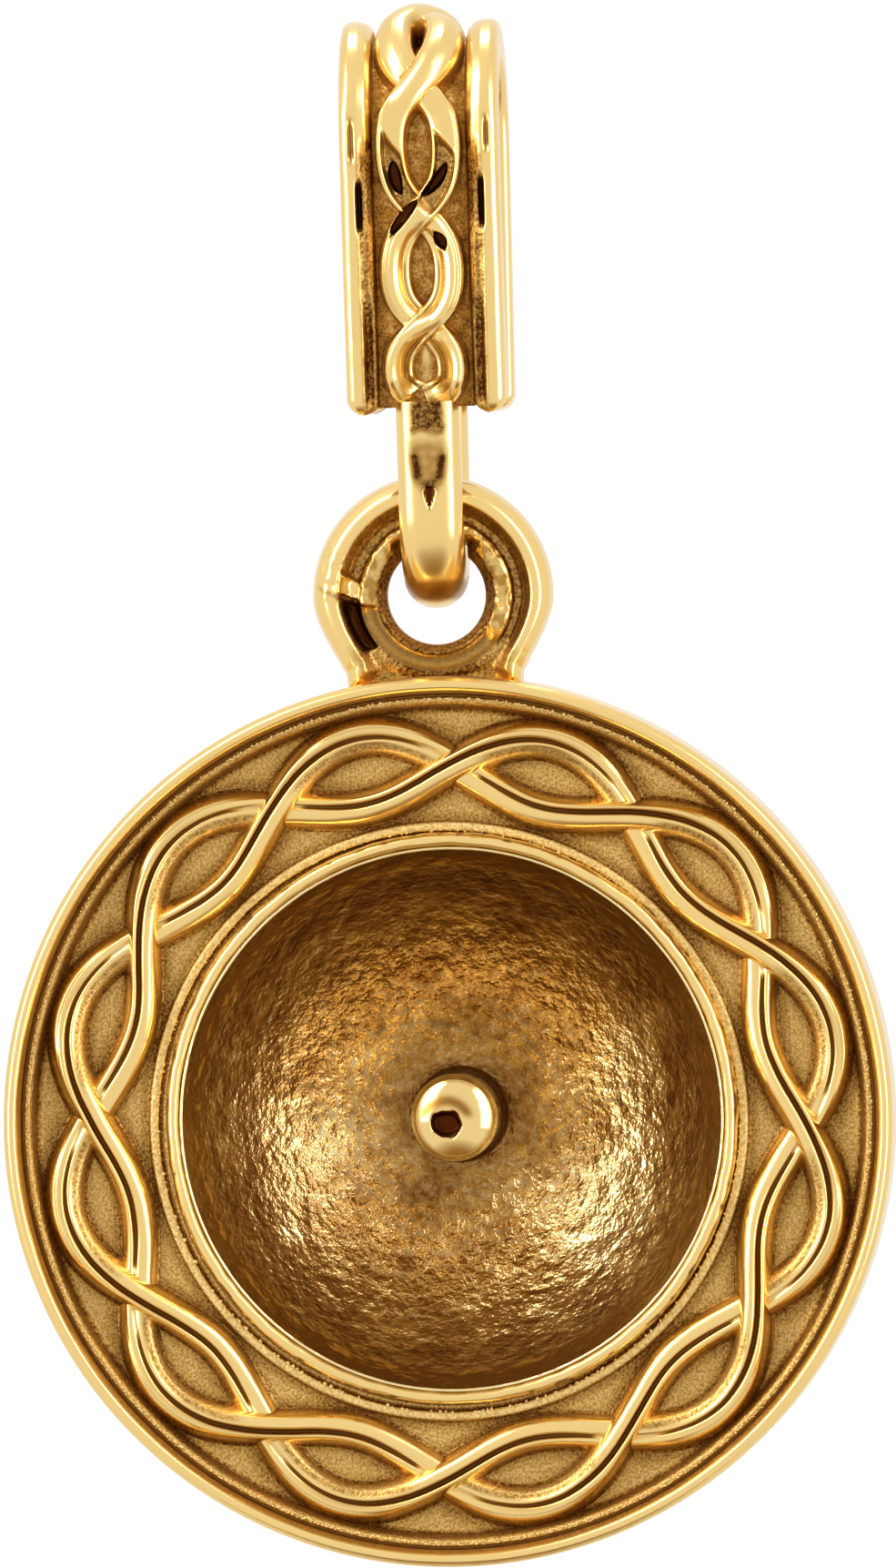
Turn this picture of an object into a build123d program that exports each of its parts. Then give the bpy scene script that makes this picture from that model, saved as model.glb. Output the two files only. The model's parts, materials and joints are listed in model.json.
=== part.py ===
from build123d import *
from math import asin, cos, pi, radians, sin, sqrt
import os

# A gold pendant mounting for a pearl, in two pieces: a round disc with a cup, a post and a hanging ring,
# and the bail that the ring hangs in. Millimetres, +Z up, the front faces -Y. The origin is where a chain
# bears on the inside of the bail's top. "Forward" means towards -Y.

# Disc
disc_radius = 5.50
disc_back_y = 0.34  # the disc's flat back, set so that the pendant hangs plumb under its hinge
ground_height = 0.95  # every height on the disc is measured forward from its flat back
rim_height = 1.40
rim_width = 0.25
rim_line_width = 0.05
rim_line_height = 1.10
step_width = 0.12
step_height = 1.19
step_slope = 0.07

# Bezel, cup and pearl post
pearl_radius = 3.50
pearl_proud = 1.08  # the pearl's centre stands this far forward of the cup's edge
bezel_width = 0.14
bezel_height = 1.22
ring_line_gap = 0.125  # bezel to the raised line round it
ring_line_width = 0.11
ring_line_height = 1.02
cup_wall = 0.40
post_radius = 0.50
post_length = 2.00  # from the cup's floor to the tip of its round end
post_solder_radius = 0.12  # hollow of the solder round the post's foot

# Rope border: two strands that cross twelve times, midway between the ring line and the step
rope_margin = 0.05
rope_crossings = 12
first_crossing = 3.9  # degrees clockwise from the top, seen from the front
rope_strand_width = 0.43
rope_height = 0.26
rope_rise = 0.08  # how far the upper strand stands above that at a crossing, and the lower one dips
rope_steps = 6  # stations from one crossing to the next

# Hanging ring on the disc's top edge
ring_rise = 0.99  # disc's top edge to the ring's centre
ring_middle_radius = 1.05
ring_wire_radius = 0.43
ring_groove_width = 0.16
ring_groove_depth = 0.24
foot_half_width = 1.36
foot_half_thickness = 0.34
foot_height = 0.40
foot_hollow_across = 0.06  # how far the concave flanks' middles lie inside straight ones
foot_hollow_down = 0.04

# Bail: a broad band that narrows below into a tongue, all one closed loop
seat_radius = 1.05  # inside of the bail's top, which the chain bears on
band_wall = 0.45
band_half_width = 0.985
band_end_rise = 1.14  # hinge to the lowest point of the rails' round ends
band_edge_round = 0.16
band_inner_round = 0.08
rail_width = 0.42
rail_end_radius = 0.20
rail_overhang = 0.10
channel_depth = 0.22
channel_back_height = 0.45  # the channel stops this far above the seat's centre line at the back
hinge_drop = 5.56  # chain seat to the middle of the ring's wire, which the tongue goes round
hinge_clearance = 0.06
tongue_thickness = 0.72
tongue_half_width = 0.385
tongue_round = 0.30
tongue_overlap = 0.12
tongue_recess_half_width = 0.15
tongue_recess_depth = 0.10
tongue_recess_rise = 0.11  # hinge to the recess's point

# Twist on the bail: two strands, its crossings closer together towards the tongue
twist_swing = 0.33
twist_strand_width = 0.38
twist_height = 0.34
twist_rise = 0.06
twist_start = 0.10  # from the band's highest point, along the band, to the crossing on top
twist_spacing = 1.75
twist_tightening = 0.075
twist_first = -1
twist_last = 4
twist_steps = 7
twist_end_share = 0.62  # of the full height, where the strands run out at either end
twist_run_out = 0.5  # over this much of the way between two crossings

# A strand's section: share of the width from its middle, share of the height, left to right
strand_section = [
    (-0.50, 0.55),
    (-0.34, 1.00),
    (-0.12, 1.00),
    (0.00, 0.50),
    (0.12, 1.00),
    (0.34, 1.00),
    (0.50, 0.55),
]
strand_root = 0.06  # how deep a strand is sunk into what carries it
tiny = 0.01

# Worked out from the sizes above: what goes round the pearl
bezel_inner_radius = sqrt(pearl_radius**2 - pearl_proud**2)
bezel_outer = bezel_inner_radius + bezel_width
ring_line_radius = bezel_outer + ring_line_gap + ring_line_width / 2
rim_inner = disc_radius - rim_width
line_inner = rim_inner - rim_line_width
step_inner = line_inner - step_width
rope_inner_limit = ring_line_radius + ring_line_width / 2 + rope_margin
rope_outer_limit = step_inner - rope_margin
rope_radius = (rope_inner_limit + rope_outer_limit) / 2
rope_swing = (rope_outer_limit - rope_inner_limit - rope_strand_width) / 2

# What hangs from what
ring_drop = hinge_drop + ring_middle_radius
disc_drop = ring_drop + ring_rise + disc_radius
tongue_inner_radius = ring_wire_radius + hinge_clearance
tongue_outer_radius = tongue_inner_radius + tongue_thickness
band_top_radius = seat_radius + band_wall
band_end = hinge_drop - band_end_rise
tongue_recess_end = hinge_drop - tongue_recess_rise

disc_plane = Plane(origin=(0, disc_back_y, -disc_drop), x_dir=(1, 0, 0), z_dir=(0, 0, -1))
ring_plane = Plane(origin=(0, 0, -ring_drop), x_dir=(1, 0, 0), z_dir=(0, 0, -1))
forward = Vector(0, -1, 0)


def strand_ring(point, across, outward, width, height):
    """Section of a strand at one station, from its left foot round to its right foot."""
    ring = [point - across * (width / 2) - outward * strand_root]
    ring += [point + across * (a * width) + outward * (h * height) for a, h in strand_section]
    ring.append(point + across * (width / 2) - outward * strand_root)
    return ring


def faceted_strand(rings, closed):
    """Closed solid through the stations' sections, in triangles."""
    count = len(rings[0])
    pairs = list(zip(rings, rings[1:]))
    if closed:
        pairs.append((rings[-1], rings[0]))
    triangles = []
    for near, far in pairs:
        for i in range(count):
            j = (i + 1) % count
            triangles.append((near[i], near[j], far[j]))
            triangles.append((near[i], far[j], far[i]))
    faces = [Face(Wire.make_polygon(corners)) for corners in triangles]
    if not closed:
        faces.append(Face(Wire.make_polygon(rings[0])))
        faces.append(Face(Wire.make_polygon(rings[-1])))
    return Solid(Shell(faces))


def along(path, value, step=0.001):
    """Point on a path, the direction across it and the direction outward at that point."""
    point, outward = path(value)
    ahead, _ = path(value + step)
    behind, _ = path(value - step)
    heading = (ahead - behind).normalized()
    return point, heading.cross(outward).normalized(), outward


def rope_path(side):
    """Centre line of one strand of the border, by its angle clockwise from the first crossing."""

    def path(degrees):
        wave = radians(degrees) * rope_crossings / 2
        radius = rope_radius + side * rope_swing * sin(wave)
        turn = radians(first_crossing + degrees)
        ground_y = disc_back_y - ground_height
        return Vector(radius * sin(turn), ground_y, radius * cos(turn) - disc_drop), forward

    return path


def rope_strand(side):
    """One strand of the border, over at every second crossing and under at the others."""
    count = rope_crossings * rope_steps
    rings = []
    for i in range(count):
        degrees = 360 * i / count
        wave = radians(degrees) * rope_crossings / 2
        height = rope_height + side * rope_rise * cos(wave)
        rings.append(strand_ring(*along(rope_path(side), degrees), rope_strand_width, height))
    return faceted_strand(rings, closed=True)


band_centre_z = -seat_radius
lean = (band_top_radius - tongue_outer_radius) / (hinge_drop - seat_radius)  # sine of the front's slope


def band_point(length, depth):
    """Point and outward direction on the bail, by the length from its top along the front."""
    radius = band_top_radius - depth
    tangent_angle = pi / 2 + lean
    angle = length / band_top_radius
    if angle <= tangent_angle:
        outward = Vector(0, -sin(angle), cos(angle))
        return Vector(0, 0, band_centre_z) + outward * radius, outward
    outward = Vector(0, -sin(tangent_angle), cos(tangent_angle))
    start = Vector(0, 0, band_centre_z) + outward * radius
    downward = Vector(0, -cos(tangent_angle), -sin(tangent_angle))
    return start + downward * (length - band_top_radius * tangent_angle), outward


def twist_path(side):
    """Centre line of one strand of the twist, by the number of crossings from the top."""

    def path(crossing):
        length = twist_start + twist_spacing * crossing - twist_tightening * crossing**2
        point, outward = band_point(length, channel_depth)
        return point + Vector(side * twist_swing * sin(pi * crossing), 0, 0), outward

    return path


def twist_strand(side):
    """One strand of the twist. The upper one at a crossing runs from upper right to lower left."""
    count = (twist_last - twist_first) * twist_steps
    rings = []
    for i in range(count + 1):
        crossing = twist_first + i / twist_steps
        to_end = min(crossing - twist_first, twist_last - crossing)
        share = twist_end_share + (1 - twist_end_share) * min(1, to_end / twist_run_out)
        height = share * (twist_height - side * twist_rise * cos(pi * crossing))
        rings.append(strand_ring(*along(twist_path(side), crossing), twist_strand_width, height))
    return faceted_strand(rings, closed=False)


def teardrop(top_radius, bottom_radius):
    """Outline of the bail at one depth, from the side: a circle round each end and their tangents."""
    slope = (top_radius - bottom_radius) / (hinge_drop - seat_radius)
    reach = sqrt(1 - slope**2)
    top_z = band_centre_z - top_radius * slope
    bottom_z = -hinge_drop - bottom_radius * slope
    top_y = top_radius * reach
    bottom_y = bottom_radius * reach
    with BuildLine() as outline:
        ThreePointArc((-top_y, top_z), (0, band_centre_z + top_radius), (top_y, top_z))
        Line((top_y, top_z), (bottom_y, bottom_z))
        ThreePointArc((bottom_y, bottom_z), (0, -hinge_drop - bottom_radius), (-bottom_y, bottom_z))
        Line((-bottom_y, bottom_z), (-top_y, top_z))
    return outline.line


# Disc, bezel, cup and post are one turned profile: radius, height above the flat back
cup_edge_height = bezel_height - bezel_width / 2
cup_centre_height = cup_edge_height + pearl_proud
cup_floor_height = cup_centre_height - pearl_radius
dome_radius = pearl_radius + cup_wall
dome_edge_radius = sqrt(dome_radius**2 - cup_centre_height**2)
post_tip_height = cup_floor_height + post_length
solder_middle_radius = post_radius + post_solder_radius
solder_height = cup_centre_height - sqrt(
    (pearl_radius - post_solder_radius) ** 2 - solder_middle_radius**2
)
solder_outer_radius = solder_middle_radius * pearl_radius / (pearl_radius - post_solder_radius)
half_turn = sqrt(0.5)


def on_sphere(radius, turn):
    """Point of the profile on a sphere round the pearl's centre, at an angle from the axis."""
    return radius * sin(turn), cup_centre_height - radius * cos(turn)


def halfway(radius, inner, outer):
    """Point of the profile on a sphere round the pearl's centre, halfway between two radii."""
    return on_sphere(radius, (asin(inner / radius) + asin(outer / radius)) / 2)


solder_turn = asin(solder_outer_radius / pearl_radius)
solder_bend = (pi / 2 + solder_turn) / 2
solder_middle = (
    solder_middle_radius - post_solder_radius * cos(solder_bend),
    solder_height - post_solder_radius * sin(solder_bend),
)


with BuildPart() as pendant:
    with BuildSketch(disc_plane):
        with BuildLine():
            ThreePointArc(
                (0, cup_centre_height - dome_radius),
                halfway(dome_radius, 0, dome_edge_radius),
                (dome_edge_radius, 0),
            )
            Polyline(
                (dome_edge_radius, 0), (disc_radius, 0), (disc_radius, rim_height - rim_width / 2)
            )
            ThreePointArc(
                (disc_radius, rim_height - rim_width / 2),
                (disc_radius - rim_width / 2, rim_height),
                (rim_inner, rim_height - rim_width / 2),
            )
            Polyline(
                (rim_inner, rim_height - rim_width / 2),
                (rim_inner, rim_line_height),
                (line_inner, rim_line_height),
                (line_inner, step_height),
                (step_inner, step_height),
                (step_inner - step_slope, ground_height),
                (ring_line_radius + ring_line_width / 2, ground_height),
            )
            ThreePointArc(
                (ring_line_radius + ring_line_width / 2, ground_height),
                (ring_line_radius, ring_line_height),
                (ring_line_radius - ring_line_width / 2, ground_height),
            )
            Polyline(
                (ring_line_radius - ring_line_width / 2, ground_height),
                (bezel_outer, ground_height),
                (bezel_outer, cup_edge_height),
            )
            ThreePointArc(
                (bezel_outer, cup_edge_height),
                (bezel_inner_radius + bezel_width / 2, bezel_height),
                (bezel_inner_radius, cup_edge_height),
            )
            ThreePointArc(
                (bezel_inner_radius, cup_edge_height),
                halfway(pearl_radius, solder_outer_radius, bezel_inner_radius),
                on_sphere(pearl_radius, solder_turn),
            )
            ThreePointArc(
                on_sphere(pearl_radius, solder_turn), solder_middle, (post_radius, solder_height)
            )
            Line((post_radius, solder_height), (post_radius, post_tip_height - post_radius))
            ThreePointArc(
                (post_radius, post_tip_height - post_radius),
                (post_radius * half_turn, post_tip_height - post_radius * (1 - half_turn)),
                (0, post_tip_height),
            )
            Line((0, post_tip_height), (0, cup_centre_height - dome_radius))
        make_face()
    revolve(axis=Axis((0, 0, -disc_drop), (0, -1, 0)))

    # Foot that carries the ring, with a concave flank on each side
    foot_bottom = sqrt(disc_radius**2 - foot_half_width**2) - disc_drop - strand_root
    foot_top = foot_bottom + foot_height
    ring_outer_radius = ring_middle_radius + ring_wire_radius
    neck_half_width = sqrt(ring_outer_radius**2 - (foot_top + ring_drop) ** 2)
    flank_x = (foot_half_width + neck_half_width) / 2 - foot_hollow_across
    flank_z = (foot_bottom + foot_top) / 2 - foot_hollow_down
    with BuildSketch(Plane.XZ):
        with BuildLine():
            Line((-foot_half_width, foot_bottom), (foot_half_width, foot_bottom))
            ThreePointArc(
                (foot_half_width, foot_bottom),
                (flank_x, flank_z),
                (neck_half_width, foot_top),
            )
            Line((neck_half_width, foot_top), (-neck_half_width, foot_top))
            ThreePointArc(
                (-neck_half_width, foot_top),
                (-flank_x, flank_z),
                (-foot_half_width, foot_bottom),
            )
        make_face()
    extrude(amount=foot_half_thickness, both=True)

    # Ring, opened through the foot again
    with BuildSketch(ring_plane):
        with Locations((ring_middle_radius, 0)):
            Circle(ring_wire_radius)
        with Locations((ring_middle_radius, ring_wire_radius)):
            Rectangle(ring_groove_width, 2 * ring_groove_depth, mode=Mode.SUBTRACT)
    revolve(axis=Axis((0, 0, -ring_drop), (0, -1, 0)))
    with BuildSketch(Plane.XZ):
        with Locations((0, -ring_drop)):
            Circle(ring_middle_radius - ring_wire_radius)
    extrude(amount=disc_radius, both=True, mode=Mode.SUBTRACT)

    add(rope_strand(1))
    add(rope_strand(-1))

with BuildSketch(Plane.YZ) as bail_inside:
    add(teardrop(seat_radius, tongue_inner_radius))
    make_face()

with BuildSketch(Plane.YZ) as bail_side:
    add(teardrop(band_top_radius, tongue_outer_radius))
    make_face()
    add(bail_inside.sketch_local, mode=Mode.SUBTRACT)

with BuildSketch(Plane.YZ) as channel_floor:
    add(teardrop(band_top_radius - channel_depth, tongue_outer_radius - channel_depth))
    make_face()

with BuildSketch(Plane.YZ) as channel_side:
    add(teardrop(band_top_radius + channel_depth, tongue_outer_radius + channel_depth))
    make_face()
    add(channel_floor.sketch_local, mode=Mode.SUBTRACT)
    with Locations((0, band_centre_z + channel_back_height)):
        Rectangle(hinge_drop, 2 * hinge_drop, align=(Align.MIN, Align.MAX), mode=Mode.SUBTRACT)

channel_half_width = band_half_width - rail_width
channel_end = band_end - rail_overhang

with BuildPart() as band:
    # Loop as seen from the side, full width, rounded along its edges
    extrude(bail_side.sketch, amount=band_half_width, both=True)
    ends = band.faces().filter_by(Axis.X)
    outer_edges = [edge for end in ends for edge in end.outer_wire().edges()]
    inner_edges = [edge for end in ends for wire in end.inner_wires() for edge in wire.edges()]
    fillet(outer_edges, radius=band_edge_round)
    fillet(inner_edges, radius=band_inner_round)

    # Channel between the rails, down the front and over the top
    extrude(channel_side.sketch, amount=channel_half_width, both=True, mode=Mode.SUBTRACT)

    # Outline from the front: a straight lower edge with the rails' round ends standing below it
    with BuildSketch(Plane.XZ):
        with Locations((0, -channel_end)):
            Rectangle(
                2 * (band_half_width - rail_end_radius), 2 * hinge_drop, align=(Align.CENTER, Align.MIN)
            )
        with Locations((0, rail_end_radius - band_end)):
            Rectangle(2 * band_half_width, 2 * hinge_drop, align=(Align.CENTER, Align.MIN))
        rail_end_x = band_half_width - rail_end_radius
        with Locations((-rail_end_x, rail_end_radius - band_end), (rail_end_x, rail_end_radius - band_end)):
            Circle(rail_end_radius)
    extrude(amount=2 * band_top_radius, both=True, mode=Mode.INTERSECT)

with BuildPart() as tongue:
    # The same loop, narrow and almost round in section, kept from the band's lower edge down
    extrude(bail_side.sketch, amount=tongue_half_width, both=True)
    with BuildSketch(Plane.XZ):
        with Locations((0, tongue_overlap - channel_end)):
            Rectangle(2 * band_half_width, hinge_drop, align=(Align.CENTER, Align.MAX))
    extrude(amount=2 * band_top_radius, both=True, mode=Mode.INTERSECT)
    below_cut = tongue_overlap - channel_end - tiny
    corners = [edge for edge in tongue.edges() if abs(edge.center().X) > tongue_half_width / 2]
    fillet([edge for edge in corners if edge.center().Z < below_cut], tongue_round)

with BuildPart() as bail:
    add(band.part)
    add(tongue.part)

    # Recess down the tongue's front that runs out in a point
    with BuildSketch(Plane.XZ.offset(tongue_outer_radius - tongue_recess_depth)):
        with BuildLine():
            Polyline(
                (-tongue_recess_half_width, -channel_end),
                (tongue_recess_half_width, -channel_end),
                (0, -tongue_recess_end),
                close=True,
            )
        make_face()
    extrude(amount=band_top_radius, mode=Mode.SUBTRACT)

    add(twist_strand(1))
    add(twist_strand(-1))

pendant.part.label = "pendant"
bail.part.label = "bail"

os.makedirs("parts", exist_ok=True)
export_step(pendant.part, "parts/pendant.step")
export_step(bail.part, "parts/bail.step")

post_wall = post_tip_height - post_radius - solder_height
post_middle_y = disc_back_y - solder_height - post_wall / 2
print("post wall", round(post_wall, 4), "its middle at y", round(post_middle_y, 4))
for piece in (pendant, bail):
    centre = piece.part.center(CenterOf.MASS)
    print(piece.part.label, "volume", round(piece.part.volume, 3), "centre", centre)
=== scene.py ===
"""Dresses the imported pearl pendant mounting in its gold: rope border, cup, post, ring and bail.

Sizes in the classes are millimetres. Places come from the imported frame, whose origin is where a chain
bears on the inside of the bail's top; +Z is up and the front faces -Y, so "forward" means towards -Y.
"""

from __future__ import annotations

import json
import logging
import math
from collections.abc import Sequence
from dataclasses import dataclass, replace
from enum import Enum
from functools import partial
from typing import Any

import bmesh
import bpy
import numpy as np
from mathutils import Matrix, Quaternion, Vector, noise

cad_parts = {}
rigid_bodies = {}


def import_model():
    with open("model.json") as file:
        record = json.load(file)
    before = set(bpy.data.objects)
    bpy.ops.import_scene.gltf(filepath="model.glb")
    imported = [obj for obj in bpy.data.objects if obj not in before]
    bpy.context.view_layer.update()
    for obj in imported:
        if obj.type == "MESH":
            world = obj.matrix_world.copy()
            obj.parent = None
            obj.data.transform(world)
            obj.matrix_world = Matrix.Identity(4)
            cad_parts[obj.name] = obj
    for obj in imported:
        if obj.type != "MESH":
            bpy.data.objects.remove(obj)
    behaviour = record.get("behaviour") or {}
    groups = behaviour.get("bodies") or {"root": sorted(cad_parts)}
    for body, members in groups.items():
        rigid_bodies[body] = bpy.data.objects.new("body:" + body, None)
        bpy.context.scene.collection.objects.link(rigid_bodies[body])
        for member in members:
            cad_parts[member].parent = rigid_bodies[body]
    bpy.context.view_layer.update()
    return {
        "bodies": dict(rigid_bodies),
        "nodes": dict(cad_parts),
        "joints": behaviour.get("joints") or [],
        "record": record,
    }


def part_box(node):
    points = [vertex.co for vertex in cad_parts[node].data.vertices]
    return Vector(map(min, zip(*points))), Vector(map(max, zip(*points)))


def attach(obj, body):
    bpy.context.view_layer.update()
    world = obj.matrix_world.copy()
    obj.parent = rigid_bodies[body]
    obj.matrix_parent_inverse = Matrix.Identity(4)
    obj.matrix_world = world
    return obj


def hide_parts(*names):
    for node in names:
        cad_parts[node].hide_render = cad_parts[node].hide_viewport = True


MM = 0.001
TAU = math.tau
PATINA_AND_PAINTED_LIGHT = "patina"
GRIT = "grit"
WHITE = (1.0, 1.0, 1.0, 1.0)
# A colour mix has inputs of one name for each type of data, so those for colours go by number
MIX_LOW = 6
MIX_HIGH = 7
# Places or heights, with their patina and their grit
Relief = tuple[np.ndarray, np.ndarray, np.ndarray]

log = logging.getLogger("pendant")


class Body(Enum):
    """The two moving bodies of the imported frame."""

    PENDANT = "pendant"
    BAIL = "bail"


class Strand(Enum):
    """Which of a pair of twisted strands, by the side it swings to first."""

    FIRST = 1
    SECOND = -1


# Helpers for colour, nodes and meshes


def linear(hex_colour: str) -> tuple[float, float, float, float]:
    """Linear colour from an sRGB hex value.

    Args:
        hex_colour: Six digits, as in "F0CE7E".

    Returns:
        Red, green, blue and an alpha of 1.
    """
    shares = [int(hex_colour[i : i + 2], 16) / 255 for i in (0, 2, 4)]
    red, green, blue = (s / 12.92 if s <= 0.04045 else ((s + 0.055) / 1.055) ** 2.4 for s in shares)
    return red, green, blue, 1.0


def feed(node: bpy.types.Node, inputs: dict) -> None:
    """Sets a node's inputs.

    Args:
        node: The node.
        inputs: By socket name or number, a value, an output socket, or a node whose first output counts.
    """
    for key, value in inputs.items():
        if isinstance(value, bpy.types.Node):
            value = next(socket for socket in value.outputs if socket.enabled)
        if isinstance(value, bpy.types.NodeSocket):
            node.id_data.links.new(value, node.inputs[key])
        else:
            node.inputs[key].default_value = value


def add_node(tree: bpy.types.NodeTree, kind: str, inputs: dict | None = None, **settings: Any) -> Any:
    """Adds a node of Blender's type name to a tree, with its inputs and its own properties."""
    node = tree.nodes.new(kind)
    for name, value in settings.items():
        setattr(node, name, value)
    feed(node, inputs or {})
    return node


def smooth(values: np.ndarray, low: float, high: float) -> np.ndarray:
    """Smooth step from 0 at low to 1 at high."""
    share = np.clip((values - low) / (high - low), 0, 1)
    return share * share * (3 - 2 * share)


def hump(values: np.ndarray, start: float, end: float, edge: float) -> np.ndarray:
    """1 between start and end, 0 outside, with soft edges."""
    return smooth(values, start - edge, start + edge) * (1 - smooth(values, end - edge, end + edge))


@dataclass(frozen=True)
class Span:
    """A stretch of some measure, by its start, its end and how soft its edges are."""

    start: float
    end: float
    edge: float

    def of(self, values: np.ndarray, origin: float = 0.0) -> np.ndarray:
        """1 where values lie in the stretch, which is counted from the origin, and 0 outside."""
        return hump(values, origin + self.start, origin + self.end, self.edge)


@dataclass(frozen=True)
class Tone:
    """A band of brown, by its strength and place, with ragged edges or even ones."""

    strength: float
    place: Span
    ragged: bool = False

    def on(self, values: np.ndarray, unevenness: np.ndarray, origin: float) -> np.ndarray:
        """Brown at values counted from the origin, shifted by the unevenness if the band is ragged."""
        return self.strength * self.place.of(values + unevenness * self.ragged, origin)


def bell(values: np.ndarray, middle: float | np.ndarray, width: float) -> np.ndarray:
    """1 at the middle, falling off on both sides over a width."""
    return np.exp(-(((values - middle) / width) ** 2))


def read_table(pairs: Sequence[tuple[float, float]], values: np.ndarray) -> np.ndarray:
    """What a table of measures and their results gives at values, in straight lines between its rows."""
    known = np.array(pairs)
    return np.interp(values, known[:, 0], known[:, 1])


def places(*coordinates: np.ndarray | float) -> np.ndarray:
    """Array of places from x, y and z, whose shapes are made the same."""
    return np.stack(np.broadcast_arrays(*coordinates), axis=-1)


def full_turn(steps: int) -> np.ndarray:
    """Column of angles once round, without the last."""
    return np.linspace(0, TAU, steps, endpoint=False)[:, None]


def linked(name: str, data: bpy.types.ID) -> bpy.types.Object:
    """Puts a new object with some data into the scene."""
    made = bpy.data.objects.new(name, data)
    bpy.context.scene.collection.objects.link(made)
    return made


def noise_at(points: np.ndarray, size: float, seed: float) -> np.ndarray:
    """Smooth noise from -1 to 1, the same each run.

    Args:
        points: Array of places in mm, its last axis x, y, z.
        size: How far apart bumps lie, in mm.
        seed: Shift that makes one noise differ from another.

    Returns:
        Array of one value per place.
    """
    flat = points.reshape(-1, 3) / size + seed
    values = np.fromiter((noise.noise(p) for p in flat.tolist()), float, len(flat))
    return values.reshape(points.shape[:-1])


def rounded(corners: Sequence[tuple[float, float, float]], step: float) -> np.ndarray:
    """Polyline whose corners are rounded.

    Args:
        corners: Each corner's two coordinates and the radius it is rounded with.
        step: Longest straight piece that is left undivided.

    Returns:
        Array of points, two coordinates each.
    """
    arc_points = 6
    longest_reach = 0.49
    spots = [np.array(c[:2], float) for c in corners]
    path = [spots[0]]
    radii = (c[2] for c in corners[1:-1])
    for before, corner, after, radius in zip(spots, spots[1:], spots[2:], radii):
        back, ahead = before - corner, after - corner
        reach_limit = min(np.linalg.norm(back), np.linalg.norm(ahead)) * longest_reach
        back, ahead = back / np.linalg.norm(back), ahead / np.linalg.norm(ahead)
        half = math.acos(float(np.clip(back @ ahead, -1, 1))) / 2
        if radius <= 0 or half > math.pi / 2 - 0.01:
            path.append(corner)
            continue
        reach = min(radius / math.tan(half), reach_limit)
        centre = corner + (back + ahead) / np.linalg.norm(back + ahead) * reach / math.cos(half)
        sweep = math.pi - 2 * half
        for share in np.linspace(0, 1, arc_points):
            path.append(
                centre
                + (corner + back * reach - centre) * math.sin((1 - share) * sweep) / math.sin(sweep)
                + (corner + ahead * reach - centre) * math.sin(share * sweep) / math.sin(sweep)
            )
    path.append(spots[-1])
    dense = [path[0]]
    for near, far in zip(path, path[1:]):
        pieces = max(1, math.ceil(np.linalg.norm(far - near) / step))
        dense += [near + (far - near) * i / pieces for i in range(1, pieces + 1)]
    return np.array(dense)


class Surface:
    """Collects grids of points and makes one clean mesh of them."""

    def __init__(self) -> None:
        """Starts with no points."""
        self.points: list[np.ndarray] = []
        self.faces: list[np.ndarray] = []
        self.patina: list[np.ndarray] = []
        self.grit: list[np.ndarray] = []
        self.count = 0

    def add_grid(
        self,
        points: np.ndarray,
        patina: np.ndarray | float = 0.0,
        grit: np.ndarray | float = 0.0,
        wrap_rows: bool = False,
        wrap_columns: bool = False,
    ) -> None:
        """Adds a grid of quads.

        Args:
            points: Rows by columns by x, y, z, in mm.
            patina: How dark the recess is at each point, from 0 to 1, painted shade and painted
                highlights included.
            grit: How blasted each point is, from 0, smooth, to 1.
            wrap_rows: True if the last row joins the first.
            wrap_columns: True if the last column joins the first.
        """
        rows, columns = points.shape[:2]
        index = np.arange(rows * columns).reshape(rows, columns) + self.count
        if wrap_rows:
            index = np.vstack([index, index[:1]])
        if wrap_columns:
            index = np.hstack([index, index[:, :1]])
        quads = np.stack([index[:-1, :-1], index[1:, :-1], index[1:, 1:], index[:-1, 1:]], axis=-1)
        self.faces.append(quads.reshape(-1, 4))
        self.points.append(points.reshape(-1, 3))
        self.patina.append(np.broadcast_to(patina, (rows, columns)).reshape(-1))
        self.grit.append(np.broadcast_to(grit, (rows, columns)).reshape(-1))
        self.count += rows * columns

    def build(self, name: str, finish: GoldFinish | None = None) -> bpy.types.Object:
        """Makes the object: doubles merged, faces outwards, smooth.

        Args:
            name: The piece's name.
            finish: Its finish, or None if it gets one later.

        Returns:
            The object, at the origin, with its place in its mesh.
        """
        mesh = bpy.data.meshes.new(name)
        vertices = np.concatenate(self.points) * MM
        mesh.from_pydata(vertices.tolist(), [], np.concatenate(self.faces).tolist())
        # The shader mixes in linear light, so the share of brown is bent to look even
        brown = 1 - (1 - np.concatenate(self.patina).clip(0, 1)) ** 2
        for label, values in ((PATINA_AND_PAINTED_LIGHT, brown), (GRIT, np.concatenate(self.grit).clip(0, 1))):
            layer = mesh.attributes.new(label, "FLOAT", "POINT")
            layer.data.foreach_set("value", values.astype(np.float32))
        work = bmesh.new()
        work.from_mesh(mesh)
        bmesh.ops.remove_doubles(work, verts=work.verts, dist=0.0005 * MM)
        bmesh.ops.recalc_face_normals(work, faces=work.faces)
        for face in work.faces:
            face.smooth = True
        work.to_mesh(mesh)
        work.free()
        if finish:
            mesh.materials.append(finish.material())
        return linked(name, mesh)


def grid_piece(name: str, finish: GoldFinish, *grid: Any, **wraps: bool) -> bpy.types.Object:
    """Makes a piece of one grid, given as for Surface.add_grid."""
    surface = Surface()
    surface.add_grid(*grid, **wraps)
    return surface.build(name, finish)


def on_base(relief: Relief, base: np.ndarray, hidden: float) -> Relief:
    """Closes each section of a relief with points under it, whose patina and grit are one value."""
    closing = np.full(base.shape[:2], hidden)
    return tuple(np.concatenate(pair, 1) for pair in zip(relief, (base, closing, closing)))


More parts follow.
